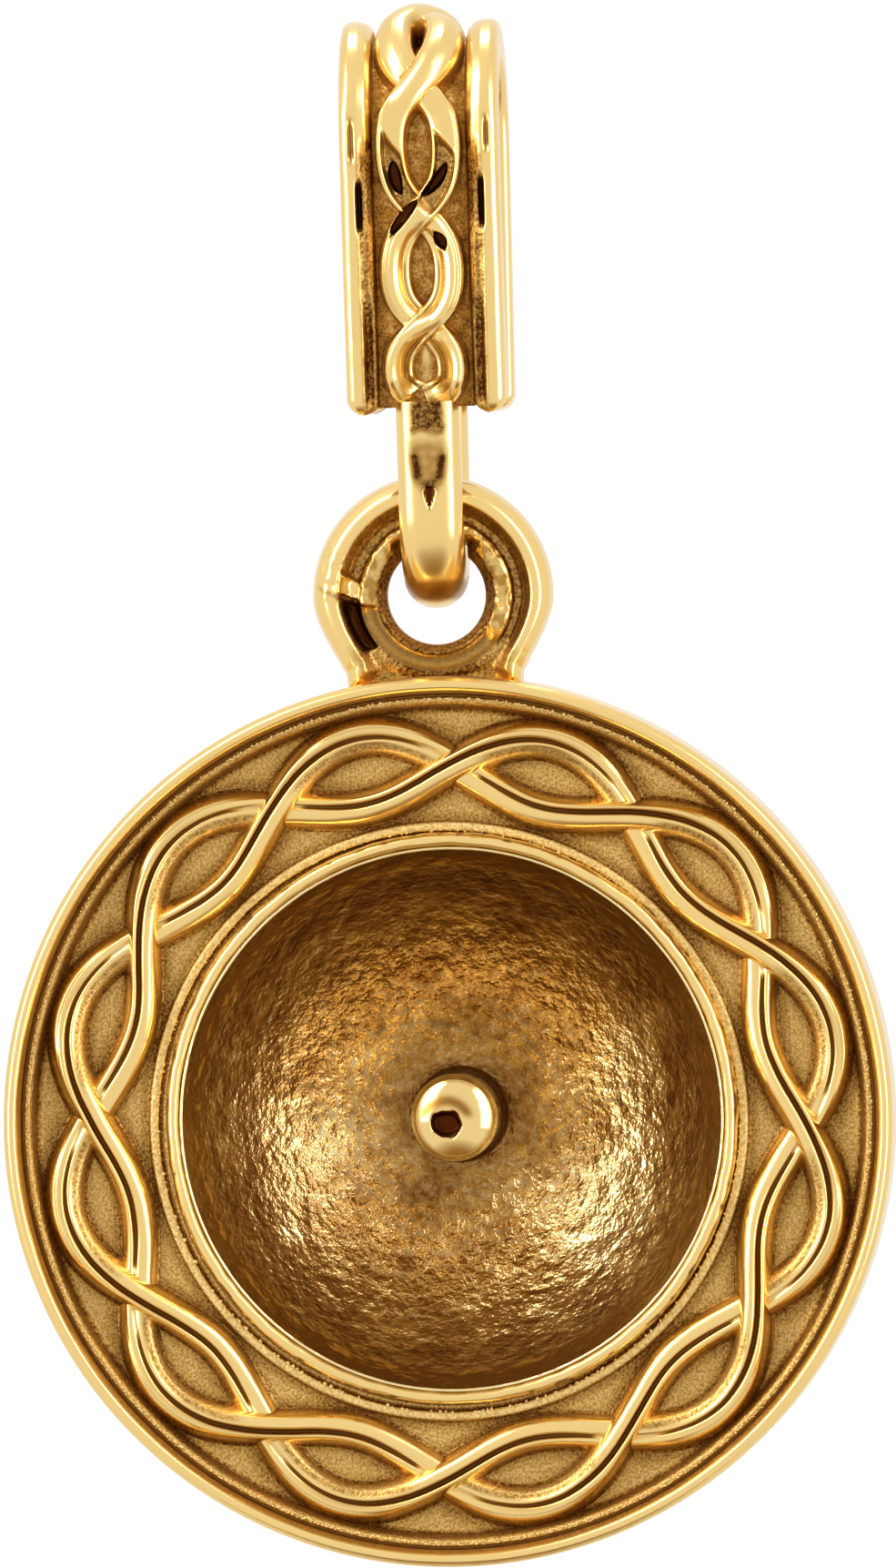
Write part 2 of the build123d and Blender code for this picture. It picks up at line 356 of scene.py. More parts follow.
def add_tube(surface: Surface, points: np.ndarray, patina: np.ndarray, grit: np.ndarray) -> None:
    """Adds a tube through closed sections, with its two ends drawn together.

    Args:
        surface: Gets the faces.
        points: Sections by points round each section by x, y, z.
        patina: Per section and point.
        grit: Per section and point.
    """
    first = np.broadcast_to(points[0].mean(0), points[0].shape)[None]
    last = np.broadcast_to(points[-1].mean(0), points[-1].shape)[None]
    layers = [np.concatenate([v[:1], v, v[-1:]]) for v in (patina, grit)]
    surface.add_grid(np.concatenate([first, points, last]), *layers, wrap_columns=True)


def grown(
    holder: bpy.types.Object, tree: bpy.types.NodeTree, values: dict[str, Any], name: str
) -> bpy.types.Object:
    """Runs a Geometry Nodes tree on an object and keeps what it makes as a plain mesh.

    Args:
        holder: The object that the tree starts from; it is removed.
        tree: The tree.
        values: Value per input name.
        name: The new object's name.

    Returns:
        The new object, at the origin, with smooth faces.
    """
    modifier = holder.modifiers.new(name, "NODES")
    modifier.node_group = tree
    for item in tree.interface.items_tree:
        if getattr(item, "in_out", "") == "INPUT" and item.name in values:
            modifier[item.identifier] = values[item.name]
    ready = holder.evaluated_get(bpy.context.evaluated_depsgraph_get())
    mesh = bpy.data.meshes.new_from_object(ready)
    bpy.data.objects.remove(holder)
    mesh.name = name
    mesh.polygons.foreach_set("use_smooth", [True] * len(mesh.polygons))
    return linked(name, mesh)


def node_tree(name: str, kinds: dict[str, str]) -> tuple[Any, Any, Any]:
    """Starts a Geometry Nodes tree with a geometry in and out and named inputs.

    Args:
        name: The tree's name.
        kinds: Short name of the socket type per input.

    Returns:
        A function that adds nodes to the tree, the tree's inputs and its output node.
    """
    tree = bpy.data.node_groups.new(name, "GeometryNodeTree")
    for label, kind in {"Geometry": "Geometry", **kinds}.items():
        tree.interface.new_socket(label, in_out="INPUT", socket_type=f"NodeSocket{kind}")
    tree.interface.new_socket("Geometry", in_out="OUTPUT", socket_type="NodeSocketGeometry")
    add = partial(add_node, tree)
    return add, add("NodeGroupInput").outputs, add("NodeGroupOutput")


# Finishes


@dataclass(frozen=True)
class GoldFinish:
    """A finish of 14 karat yellow gold.

    The patina attribute leads from the bare metal over a warm tone to the brown left in recesses by the
    antiquing bath, and in places it paints shade, reflections and highlights; the grit attribute leads
    from the smooth skin to the grit-blasted one.
    """

    name: str
    bare: str
    toned: str
    antiqued: str
    blasted: str
    roughness: float
    blasted_roughness: float
    wave: float
    wave_depth: float
    grain: float
    grain_depth: float
    pits: float

    def material(self) -> bpy.types.Material:
        """Builds the material, once."""
        if self.name in bpy.data.materials:
            return bpy.data.materials[self.name]
        made = bpy.data.materials.new(self.name)
        made.use_nodes = True
        add = partial(add_node, made.node_tree)
        mix = partial(add, "ShaderNodeMix", data_type="RGBA")
        place = add("ShaderNodeTexCoord").outputs["Object"]
        patina = add("ShaderNodeAttribute", attribute_name=PATINA_AND_PAINTED_LIGHT).outputs["Fac"]
        grit = add("ShaderNodeAttribute", attribute_name=GRIT).outputs["Fac"]
        broad = {"Vector": place, "Scale": 1 / (self.wave * MM), "Detail": 2.0}
        waves = add("ShaderNodeTexNoise", broad)
        fine = {"Vector": place, "Scale": 1 / (self.grain * MM), "Detail": 2.5, "Roughness": 0.65}
        grains = add("ShaderNodeTexNoise", fine)
        # Brown stays between the grains of a blasted skin
        pits = add("ShaderNodeMapRange", {"Value": grains, "From Min": 0.58, "From Max": 0.38})
        kept = add("ShaderNodeMath", {0: pits, 1: grit}, operation="MULTIPLY")
        stain = {0: kept, 1: self.pits, 2: patina}
        dark = add("ShaderNodeMath", stain, operation="MULTIPLY_ADD", use_clamp=True)
        thin = add("ShaderNodeMapRange", {"Value": dark, "From Max": 0.5})
        thick = add("ShaderNodeMapRange", {"Value": dark, "From Min": 0.5})
        skin = mix({"Factor": grit, MIX_LOW: linear(self.bare), MIX_HIGH: linear(self.blasted)})
        warm = mix({"Factor": thin, MIX_LOW: skin, MIX_HIGH: linear(self.toned)})
        colour = mix({"Factor": thick, MIX_LOW: warm, MIX_HIGH: linear(self.antiqued)})
        rough = add("ShaderNodeMath", {0: dark, 1: grit}, operation="MAXIMUM", use_clamp=True)
        dulled = {"Value": rough, "To Min": self.roughness, "To Max": self.blasted_roughness}
        gloss = add("ShaderNodeMapRange", dulled)
        swell = {"Height": waves, "Distance": self.wave_depth * MM, "Strength": 1.0}
        rise = {"Height": grains, "Distance": self.grain_depth * MM, "Strength": grit}
        bump = add("ShaderNodeBump", {**rise, "Normal": add("ShaderNodeBump", swell)})
        surface = {"Metallic": 1.0, "Base Color": colour, "Roughness": gloss, "Normal": bump}
        feed(made.node_tree.nodes["Principled BSDF"], surface)
        return made


# Cast, tumbled and buffed lightly by hand: satin-bright, with the faint waviness of the buff
POLISHED = GoldFinish(
    name="gold_buffed",
    bare="F1CF86", toned="B68C48", antiqued="4A240C", blasted="E2C07C",
    roughness=0.21, blasted_roughness=0.40,
    wave=0.50, wave_depth=0.006, grain=0.040, grain_depth=0.012, pits=0.40,
)
# The post is drawn wire, burnished as bright as the pearl's hole allows
BURNISHED = GoldFinish(
    name="gold_wire_burnished",
    bare="F0CF88", toned="B08040", antiqued="4A2008", blasted="E2B868",
    roughness=0.09, blasted_roughness=0.40,
    wave=0.60, wave_depth=0.004, grain=0.040, grain_depth=0.010, pits=0.30,
)
# Where the buff doesn't reach, the metal keeps its blasted skin with brown between gold grains
BLASTED = GoldFinish(
    name="gold_grit_blasted",
    bare="F1CF86", toned="B48A46", antiqued="5E3814", blasted="E8CA86",
    roughness=0.22, blasted_roughness=0.46,
    wave=0.30, wave_depth=0.008, grain=0.034, grain_depth=0.014, pits=0.36,
)
# The band's deep channel holds more of the old-gold tone than the open ground does
TONED_BAND = replace(BLASTED, name="gold_toned_band", toned="B07C34")
# The cup keeps the skin of the casting, whose facets glitter where they face the light; its walls
# see each other, so the colours are paler than they look in place
CAST_CUP = GoldFinish(
    name="gold_as_cast_cup",
    bare="EEDAA4", toned="B29260", antiqued="704A22", blasted="E6D29C",
    roughness=0.15, blasted_roughness=0.26,
    wave=0.30, wave_depth=0.034, grain=0.110, grain_depth=0.042, pits=0.34,
)


# Where things are


@dataclass(frozen=True)
class Layout:
    """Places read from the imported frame, in mm."""

    disc_radius: float
    disc_z: float
    rim_y: float
    hinge_z: float
    bail_half_width: float

    @classmethod
    def read(cls, frame: dict) -> Layout:
        low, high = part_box(Body.PENDANT.value)
        bail_low, bail_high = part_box(Body.BAIL.value)
        radius = (high.x - low.x) / 2 / MM
        return cls(
            disc_radius=radius,
            disc_z=low.z / MM + radius,
            rim_y=low.y / MM,
            hinge_z=frame["joints"][0]["pos_m"][2] / MM,
            bail_half_width=(bail_high.x - bail_low.x) / 2 / MM,
        )


# The pendant


@dataclass
class RopePath:
    """The two waving lines that the rope border's strands follow, seen from the front."""

    mid_radius: float = 4.436
    swing: float = 0.436
    waves: int = 6
    first_crossing: float = 3.5

    def radius(self, turn: np.ndarray, which: Strand) -> np.ndarray:
        """Distance of a strand's middle from the disc's centre, by the angle clockwise from the top."""
        wave = self.waves * (turn - math.radians(self.first_crossing))
        return self.mid_radius + which.value * self.swing * np.sin(wave)

    def slope(self, turn: np.ndarray, which: Strand) -> np.ndarray:
        """How fast a strand moves outwards, per mm along the border."""
        wave = self.waves * (turn - math.radians(self.first_crossing))
        climb = which.value * self.swing * self.waves * np.cos(wave)
        return climb / self.radius(turn, which)

    def gap(self, turn: np.ndarray, radius: np.ndarray, which: Strand) -> np.ndarray:
        """Distance of a place from a strand's middle line, positive on its outer side."""
        return (radius - self.radius(turn, which)) / np.sqrt(1 + self.slope(turn, which) ** 2)


@dataclass
class Disc:
    """The turned disc: rim bead, step, ground, edge and plain back."""

    layout: Layout
    rope: RopePath
    rim_height: float = 1.40
    ground_height: float = 0.95
    line_height: float = 1.13
    step_height: float = 1.20
    pearl_radius: float = 3.50
    pearl_proud: float = 1.11
    bezel_inner_radius: float = 3.33
    bezel_height: float = 1.22
    bezel_width: float = 0.20
    fine_line_radius: float = 3.640
    fine_line_height: float = 0.055
    cup_wall: float = 0.40
    lining_room: float = 0.06
    back_margin: float = 0.60
    cup_shift_x: float = 0.042
    cup_shift_z: float = 0.028
    strand_foot: float = 0.225
    segments: int = 480
    # By distance from the disc's edge: foot of the step, top of the step, line beside the bead, and
    # painted shade on the bead's inner slope
    edge_tones: tuple[Tone, ...] = (
        Tone(0.30, Span(-0.440, -0.345, 0.030)),
        Tone(0.13, Span(-0.345, -0.255, 0.020), ragged=True),
        Tone(0.42, Span(-0.250, -0.228, 0.007), ragged=True),
        Tone(0.24, Span(-0.222, -0.165, 0.020)),
    )
    # By distance from the disc's middle: both sides of the fine line round the bezel
    ground_tones: tuple[Tone, ...] = (
        Tone(0.42, Span(3.545, 3.590, 0.010), ragged=True),
        Tone(0.20, Span(3.690, 3.770, 0.020)),
    )

    @property
    def back_y(self) -> float:
        """The flat back."""
        return self.layout.rim_y + self.rim_height

    @property
    def cup_centre(self) -> float:
        """Height of the pearl's centre over the flat back."""
        return self.bezel_height - self.bezel_width / 2 + self.pearl_proud

    def turned(self, profile: np.ndarray, segments: int, in_cup: bool = False) -> np.ndarray:
        """Turns a profile round the disc's axis.

        Args:
            profile: Radius and height over the flat back, per point.
            segments: How many steps go round.
            in_cup: True for what belongs to the cup, which was set a trace off the disc's middle.

        Returns:
            Segments by profile points by x, y, z.
        """
        turn = full_turn(segments)
        radius, height = profile[:, 0], profile[:, 1]
        x = radius * np.sin(turn) + self.cup_shift_x * in_cup
        z = self.layout.disc_z + radius * np.cos(turn) + self.cup_shift_z * in_cup
        return places(x, self.back_y - height, z)

    def arc(self, radius: float, turn: np.ndarray) -> np.ndarray:
        """Radius and height of points on an arc round the pearl's centre, by angle from the back."""
        return np.stack([radius * np.sin(turn), self.cup_centre - radius * np.cos(turn)], 1)

    def profile(self) -> tuple[np.ndarray, int]:
        """The disc's section, from the bowl's middle over the front and the edge to the dome's middle.

        Returns:
            Radius and height over the flat back, per point, and how many points come before the back.
        """
        edge, rim = self.layout.disc_radius, self.rim_height
        ground, line, step = self.ground_height, self.line_height, self.step_height
        fine, fine_top = self.fine_line_radius, ground + self.fine_line_height
        bowl_radius = self.pearl_radius + self.lining_room
        bowl_edge = math.asin(self.bezel_inner_radius / bowl_radius)
        bowl = self.arc(bowl_radius, np.linspace(0, bowl_edge, 14))
        corners = [
            (*bowl[-1], 0), (self.bezel_inner_radius + 0.05, 1.08, 0.02), (3.52, ground, 0.02),
            (fine - 0.065, ground, 0.03), (fine - 0.045, fine_top, 0.04),
            (fine + 0.045, fine_top, 0.05), (fine + 0.085, ground, 0.05),
            (edge - 0.47, ground, 0.05), (edge - 0.405, ground + 0.02, 0.05),
            (edge - 0.345, step - 0.05, 0.05), (edge - 0.315, step - 0.01, 0.03),
            (edge - 0.262, step - 0.01, 0.03), (edge - 0.247, line, 0.01),
            (edge - 0.233, line, 0.01), (edge - 0.212, line + 0.10, 0.03),
            (edge - 0.172, rim - 0.05, 0.05), (edge - 0.135, rim, 0.05),
            (edge - 0.065, rim - 0.010, 0.06), (edge - 0.010, rim - 0.08, 0.06),
            (edge, rim - 0.20, 0.05), (edge, 0.12, 0.10),
            (edge - 0.12, 0.0, 0.12), (edge - self.back_margin, 0.0, 0),
        ]
        front = np.concatenate([bowl[:-1], rounded(corners, step=0.10)])
        dome_radius = self.pearl_radius + self.cup_wall
        dome_edge = math.sqrt(dome_radius**2 - self.cup_centre**2)
        dome = self.arc(dome_radius, np.linspace(math.asin(dome_edge / dome_radius), 0, 18))
        across = np.linspace(edge - self.back_margin, dome_edge, 8)[1:-1]
        flat = np.stack([across, np.zeros_like(across)], 1)
        return np.concatenate([front, flat, dome]), len(front)

    def build(self) -> bpy.types.Object:
        """Builds the disc as one closed mesh."""
        edge = self.layout.disc_radius
        profile, front_count = self.profile()
        points = self.turned(profile, self.segments)
        radius, height = profile[:, 0], profile[:, 1]
        on_front = (np.arange(len(profile)) < front_count) & (height > 0.5)
        on_front &= (radius > 3.4) & (radius < edge - 0.06)
        turn = full_turn(self.segments)
        gaps = [np.abs(self.rope.gap(turn, radius[None], which)) for which in Strand]
        off_rope = np.minimum(*gaps) - self.strand_foot
        low = on_front & (height < self.ground_height + 0.03)
        # Brown at the strands' feet, in the foot of the step and beside the bead: antiquing in the
        # recesses, with painted shade where the strands meet the ground
        patina = low * (0.14 + 0.26 * bell(np.maximum(off_rope, 0), 0, 0.080))
        ragged = noise_at(points, 0.07, 12.0) * 0.010
        tones = [(tone, edge) for tone in self.edge_tones]
        tones += [(tone, 0.0) for tone in self.ground_tones]
        patina = patina + on_front * sum(tone.on(radius, ragged, origin) for tone, origin in tones)
        grit = np.where(on_front & (radius < edge - 0.25), 1.0, 0.0)
        return grid_piece("disc", BLASTED, points, patina, grit, wrap_rows=True)


@dataclass(frozen=True)
class HighlightPatch:
    """An oval of painted highlight, where less brown is painted; places and reaches are shares of the
    cup's radius.
    """

    strength: float
    east: float
    up: float
    reach_east: float
    reach_up: float

    def at(self, east: np.ndarray, up: np.ndarray) -> np.ndarray:
        """How strong the painted highlight is at each place."""
        off_east, off_up = (east - self.east) / self.reach_east, (up - self.up) / self.reach_up
        return self.strength * np.exp(-(off_east**2 + off_up**2))


@dataclass
class CupLining:
    """The cup's own skin, as it came from the mould, a little darker at its lower edge, with painted
    shade on its top and painted highlights where the lamps reflect.
    """

    disc: Disc
    thickness: float = 0.03
    segments: int = 512
    rings: int = 96
    highlight_patches: tuple[HighlightPatch, ...] = (
        HighlightPatch(1.0, 0.46, -0.36, 0.24, 0.27),
        HighlightPatch(0.7, 0.62, 0.10, 0.13, 0.32),
        HighlightPatch(0.8, -0.52, -0.14, 0.20, 0.22),
    )

    def build(self) -> bpy.types.Object:
        """Builds the lining as one closed mesh."""
        disc = self.disc
        edge = math.asin((disc.bezel_inner_radius + 0.01) / disc.pearl_radius)
        out = np.linspace(0, edge, self.rings)
        front = disc.arc(disc.pearl_radius, out)
        back = disc.arc(disc.pearl_radius + self.thickness, out[::-6])
        profile = np.concatenate([front, back, [[0, back[-1, 1]]]])
        points = disc.turned(profile, self.segments, in_cup=True)
        skin = points[:, : len(front)]
        radius = profile[:, 0]
        east = (points[..., 0] - disc.cup_shift_x) / disc.bezel_inner_radius
        up = (points[..., 2] - disc.layout.disc_z - disc.cup_shift_z) / disc.bezel_inner_radius
        cloud = np.zeros(points.shape[:2])
        cloud[:, : len(front)] = noise_at(skin, 0.55, 5.0) + 0.8 * noise_at(skin, 0.16, 1.0)
        # Painted highlights: less brown low on the right, up from there and at the left, where the lamps
        # reflect
        wear_and_highlight = sum(patch.at(east, up) for patch in self.highlight_patches).clip(0, 1)
        # Facets of the mould stand out under the painted highlights and are faint elsewhere
        facets = 0.015 * noise_at(skin, 0.12, 3.0) + 0.018 * noise_at(skin, 0.26, 9.0)
        within = smooth(front[:, 0], 0.6, 1.3) * (1 - smooth(front[:, 0], 3.0, 3.25))
        points[:, : len(front), 1] += facets * within * (0.40 + 0.75 * wear_and_highlight[:, : len(front)])
        # Painted shade darkens the cup's top, and the painted highlights take brown away
        patina = (
            0.36
            - 0.17 * smooth(radius, 1.8, 2.9)
            - 0.36 * wear_and_highlight
            + 0.03 * hump(radius, 2.60, 3.02, 0.16)
            + 0.10 * smooth(up, 0.10, 0.75) * (radius < 3.1)
            - 0.22 * smooth(radius, 3.02, 3.16)
            + 0.20 * cloud * (radius < 3.0)
            + 0.16 * (1 - smooth(radius, 0.62, 0.85))
        )
        grit = (0.6 + 0.4 * wear_and_highlight) * (1 - smooth(radius, 3.05, 3.2))
        return grid_piece("cup_lining", CAST_CUP, points, patina, grit, wrap_rows=True)


@dataclass
class Bezel:
    """The thin wall round the cup, a little uneven from hand burnishing."""

    disc: Disc
    unevenness: float = 0.012
    segments: int = 640

    def build(self) -> bpy.types.Object:
        """Builds the ring as one closed mesh."""
        inner = self.disc.bezel_inner_radius
        outer = inner + self.disc.bezel_width
        top = self.disc.bezel_height
        corners = [
            (inner + 0.03, 1.00, 0), (inner - 0.005, top - 0.15, 0.05),
            (inner + 0.045, top - 0.05, 0.05), (inner + 0.090, top + 0.005, 0.05),
            (outer - 0.030, top - 0.02, 0.06),
            (outer + 0.005, top - 0.13, 0.05), (outer + 0.02, 0.92, 0),
        ]
        profile = rounded(corners, step=0.03)
        points = self.disc.turned(profile, self.segments, in_cup=True)
        away = points - np.array([0, 0, self.disc.layout.disc_z])
        away[..., 1] = 0
        away /= np.linalg.norm(away, axis=-1, keepdims=True)
        shift = self.unevenness * (noise_at(points, 1.1, 1.0) + 0.8 * noise_at(points, 0.20, 5.0))
        points = points + away * shift[..., None]
        points[..., 1] += 0.5 * self.unevenness * noise_at(points, 0.3, 7.0)
        radius = profile[:, 0]
        nicks = smooth(noise_at(points, 0.13, 8.0), 0.25, 0.5) * (radius > outer - 0.04)
        inside = 1 - smooth(radius, inner + 0.035, inner + 0.075)
        patina = 0.34 * inside * np.ones_like(nicks) + 0.5 * nicks
        return grid_piece("bezel", POLISHED, points, patina, wrap_rows=True, wrap_columns=True)


@dataclass
class PearlPost:
    """The post that the pearl is glued on: polished end with a small pit painted dark as a reflection,
    and solder round its foot.
    """

    disc: Disc
    radius: float = 0.54
    length: float = 2.00
    dome_radius: float = 0.76
    edge_round: float = 0.10
    solder_radius: float = 0.08
    pit_x: float = -0.055
    pit_z: float = -0.055
    pit_radius: float = 0.19
    pit_depth: float = 0.15
    segments: int = 144

    def build(self) -> bpy.types.Object:
        """Builds the post as one closed mesh, sunk into the cup's floor."""
        floor = self.disc.cup_centre - self.disc.pearl_radius
        tip = floor + self.length
        shoulder_radius = self.radius - 0.06
        drop_at = math.sqrt(self.dome_radius**2 - shoulder_radius**2)
        shoulder = tip - (self.dome_radius - drop_at)
        side, foot = self.radius, self.radius + self.solder_radius
        corners = [
            (0, floor - 0.02, 0), (foot, floor - 0.01, 0), (foot, floor + 0.04, 0.02),
            (side + 0.02, floor + 0.08, 0.08), (side, floor + 0.25, 0.10),
            (side, shoulder - self.edge_round, 0.12), (shoulder_radius, shoulder, 0.10),
        ]
        body = rounded(corners, step=0.06)
        dome_turn = np.linspace(math.asin(shoulder_radius / self.dome_radius), 0, 40)
        dome = np.stack(
            [self.dome_radius * np.sin(dome_turn), tip - self.dome_radius * (1 - np.cos(dome_turn))], 1
        )
        profile = np.concatenate([body, dome[1:]])
        points = self.disc.turned(profile, self.segments, in_cup=True)
        on_end = profile[:, 1] > shoulder - 0.05
        off_x = points[..., 0] - self.pit_x
        off_z = points[..., 2] - self.disc.layout.disc_z - self.pit_z
        ragged = 0.24 * noise_at(points, 0.12, 2.0) * on_end
        from_pit = np.hypot(off_x, off_z * 1.15) / self.pit_radius + ragged
        pit_painted_as_reflection = (1 - smooth(from_pit, 0.60, 1.15)) * on_end
        points[..., 1] += self.pit_depth * pit_painted_as_reflection
        # Painted reflection: a soft dark arc over the pit; the end's edge is a little darker too
        from_middle = np.hypot(off_x, off_z)
        arc = bell(from_middle, 0.30, 0.060) * smooth(off_z, 0.04, 0.18) * on_end
        edge = hump(profile[:, 0], self.radius - 0.10, self.radius - 0.03, 0.015) * on_end
        # Darker at the post's foot; the pit's dark is painted reflection
        patina = 0.6 * (1 - smooth(profile[:, 1], floor + 0.05, floor + 0.30)) + 1.1 * pit_painted_as_reflection
        patina = patina + 0.42 * arc + 0.14 * edge
        return grid_piece("pearl_post", BURNISHED, points, patina, wrap_rows=True)


@dataclass
class StrandSection:
    """Relief across a strand, from the ridge on its disc side to the one on its rim side.

    Each table gives distance from the groove in mm and height as a share, at the crossings, at the
    strand's way round the outside of an eye and at its way round the inside. Distances are positive
    towards the rim.
    """

    crossing: tuple = (
        (-0.285, 0.0), (-0.245, 0.30), (-0.205, 0.74), (-0.150, 0.93), (-0.085, 1.0), (-0.035, 0.96),
        (0.0, 0.88), (0.035, 0.94), (0.070, 0.97), (0.105, 0.78), (0.140, 0.36), (0.180, 0.0),
    )
    outside: tuple = (
        (-0.235, 0.0), (-0.205, 0.30), (-0.172, 0.62), (-0.135, 0.72), (-0.085, 0.78), (-0.042, 0.95),
        (0.0, 0.88), (0.055, 0.94), (0.115, 1.0), (0.175, 0.86), (0.220, 0.42), (0.265, 0.0),
    )
    inside: tuple = (
        (-0.285, 0.0), (-0.245, 0.30), (-0.205, 0.68), (-0.150, 0.88), (-0.090, 0.98), (-0.035, 0.96),
        (0.0, 0.86), (0.040, 0.95), (0.080, 0.93), (0.115, 0.70), (0.145, 0.34), (0.175, 0.0),
    )

    def table(self, phase: np.ndarray) -> np.ndarray:
        """The section's table at each phase of the strand's period, as stations by points by 2."""
        swing = np.sin(TAU * phase).reshape(-1, 1, 1)
        share = np.abs(swing) ** 1.2
        far = np.where(swing > 0, np.array(self.outside), np.array(self.inside))
        return np.array(self.crossing) * (1 - share) + far * share

    def heights(self, phase: np.ndarray, gap: np.ndarray) -> np.ndarray:
        """Height share at distances from the groove.

        Args:
            phase: One per station.
            gap: Stations by points, in mm.

        Returns:
            Stations by points.
        """
        tables = self.table(phase)
        rows = [np.interp(g, t[:, 0], t[:, 1], 0.0, 0.0) for g, t in zip(gap, tables)]
        return np.array(rows)


@dataclass
class RopeBorder:
    """Two twisted strands in relief; Geometry Nodes repeat the one sixth that is modelled."""

    disc: Disc
    height: float = 0.25
    rise: float = 0.07
    root: float = 0.05
    groove_half_width: float = 0.027
    groove_depth: float = 0.26
    groove_start: float = 0.545
    line_at: float = 0.120
    line_reach: float = 0.014
    line_run: Span = Span(0.10, 0.46, 0.03)
    under_share: float = 0.17
    partner_reach: float = 0.085
    sunk_height: float = -0.02
    stations: int = 110
    across: int = 39
    unevenness: float = 0.010
    uneven_every: float = 0.7

    def relief(self, gap: np.ndarray, phase: np.ndarray) -> Relief:
        """Relief of a strand.

        Args:
            gap: Distance of each point from the groove, stations by points.
            phase: Share of the strand's period, over its partner at 0 and under it at 0.5.

        Returns:
            Height over the ground, patina and grit, each stations by points.
        """
        dense = StrandSection().heights(phase, gap)
        # Corners of the table are rounded by averaging neighbours across the strand
        for _ in range(4):
            padded = np.pad(dense, ((0, 0), (1, 1)), mode="edge")
            dense = (padded[:, :-2] + 2 * padded[:, 1:-1] + padded[:, 2:]) / 4
        column = phase[:, None]
        top = self.height + self.rise * np.cos(TAU * column)
        # The groove starts where the strand comes out from under its partner, is deep over the crossing
        # and thins out towards the end of the next eye
        since = np.mod(column - self.groove_start, 1.0)
        deep = smooth(since, 0.0, 0.02) * (1 - smooth(since, 0.82, 0.88))
        width = self.groove_half_width * (0.70 + 0.30 * smooth(since, 0.0, 0.12))
        width = width * (1 - 0.40 * smooth(since, 0.55, 0.85))
        cut = deep * np.exp(-np.abs(gap / width) ** 2.2)
        soft = (1 - deep) * 0.10 * bell(gap, 0, 0.03)
        line = self.line_run.of(column) * bell(gap, self.line_at, self.line_reach)
        raised = top * (dense - self.groove_depth * cut - soft - 0.04 * line)
        # Painted shade on the slope beside the groove, strongest where the strand leaves a crossing
        # round the outside of an eye
        painted_slope_shade = bell(gap, 0.045, 0.030) * smooth(np.cos(TAU * (column - 0.10)), -0.3, 0.6)
        outer_tip = hump(column, 0.02, 0.48, 0.05)
        swing = np.sin(TAU * column)
        eye_side = np.where(swing > 0, -gap, gap)
        flank = smooth(eye_side, 0.060, 0.10) * smooth(swing, 0.15, 0.5)
        foot = 1 - smooth(dense, 0.05, 0.45)
        valley = flank * (1 - smooth(eye_side, 0.125, 0.160))
        shade = 0.12 * painted_slope_shade * (0.5 + 0.5 * outer_tip) + 0.14 * line + soft + 0.20 * valley
        patina = 0.66 * cut + 0.32 * foot + shade
        return raised - self.root * (dense <= 0), patina, np.maximum(flank, foot)

    def strand(self, which: Strand) -> Relief:
        """One strand over one sixth of the border.

        Args:
            which: The strand; the second lags half a period behind.

        Returns:
            Closed sections by points by x, y, z round the disc's centre, their patina and their grit.
        """
        rope = self.disc.rope
        share = np.linspace(0, 1, self.stations + 1)
        phase = np.mod(share + (0.0 if which is Strand.FIRST else 0.5), 1.0)
        turn = math.radians(rope.first_crossing) + share * TAU / rope.waves
        # The groove keeps off the strand's middle: outwards over a crossing, towards the eye elsewhere
        swing = np.sin(TAU * phase)
        groove_at = (0.015 + 0.040 * np.cos(TAU * phase) - 0.035 * swing)[:, None]
        inner = -0.285 + 0.050 * np.maximum(swing, 0)
        outer = 0.180 + 0.085 * np.maximum(swing, 0) - 0.005 * np.maximum(-swing, 0)
        spread = np.linspace(0, 1, self.across)[None]
        gap = (inner - 0.02)[:, None] + ((outer - inner) + 0.04)[:, None] * spread
        raised, patina, grit = self.relief(gap, phase)
        radius = rope.radius(turn, which)[:, None]
        slope = rope.slope(turn, which)[:, None]
        side = (gap + groove_at) / np.sqrt(1 + slope**2)
        outwards, along = radius + side, -side * slope
        angle = turn[:, None]
        x = outwards * np.sin(angle) + along * np.cos(angle)
        z = outwards * np.cos(angle) - along * np.sin(angle)
        # Under its partner the strand sinks out of the way of the partner's groove
        other = Strand.SECOND if which is Strand.FIRST else Strand.FIRST
        to_other = np.abs(rope.gap(np.arctan2(x, z), np.hypot(x, z), other))
        under = (np.abs(phase - 0.5)[:, None] < self.under_share) & (to_other < self.partner_reach)
        raised = np.where(under, np.minimum(raised, self.sunk_height), raised)
        ground_y = self.disc.back_y - self.disc.ground_height
        y = ground_y - raised
        top = places(x, y, z)
        below = top[:, [-1, self.across // 2, 0]].copy()
        below[..., 1] = ground_y + self.root + 0.02
        return on_base((top, patina, grit), below, 1.0)

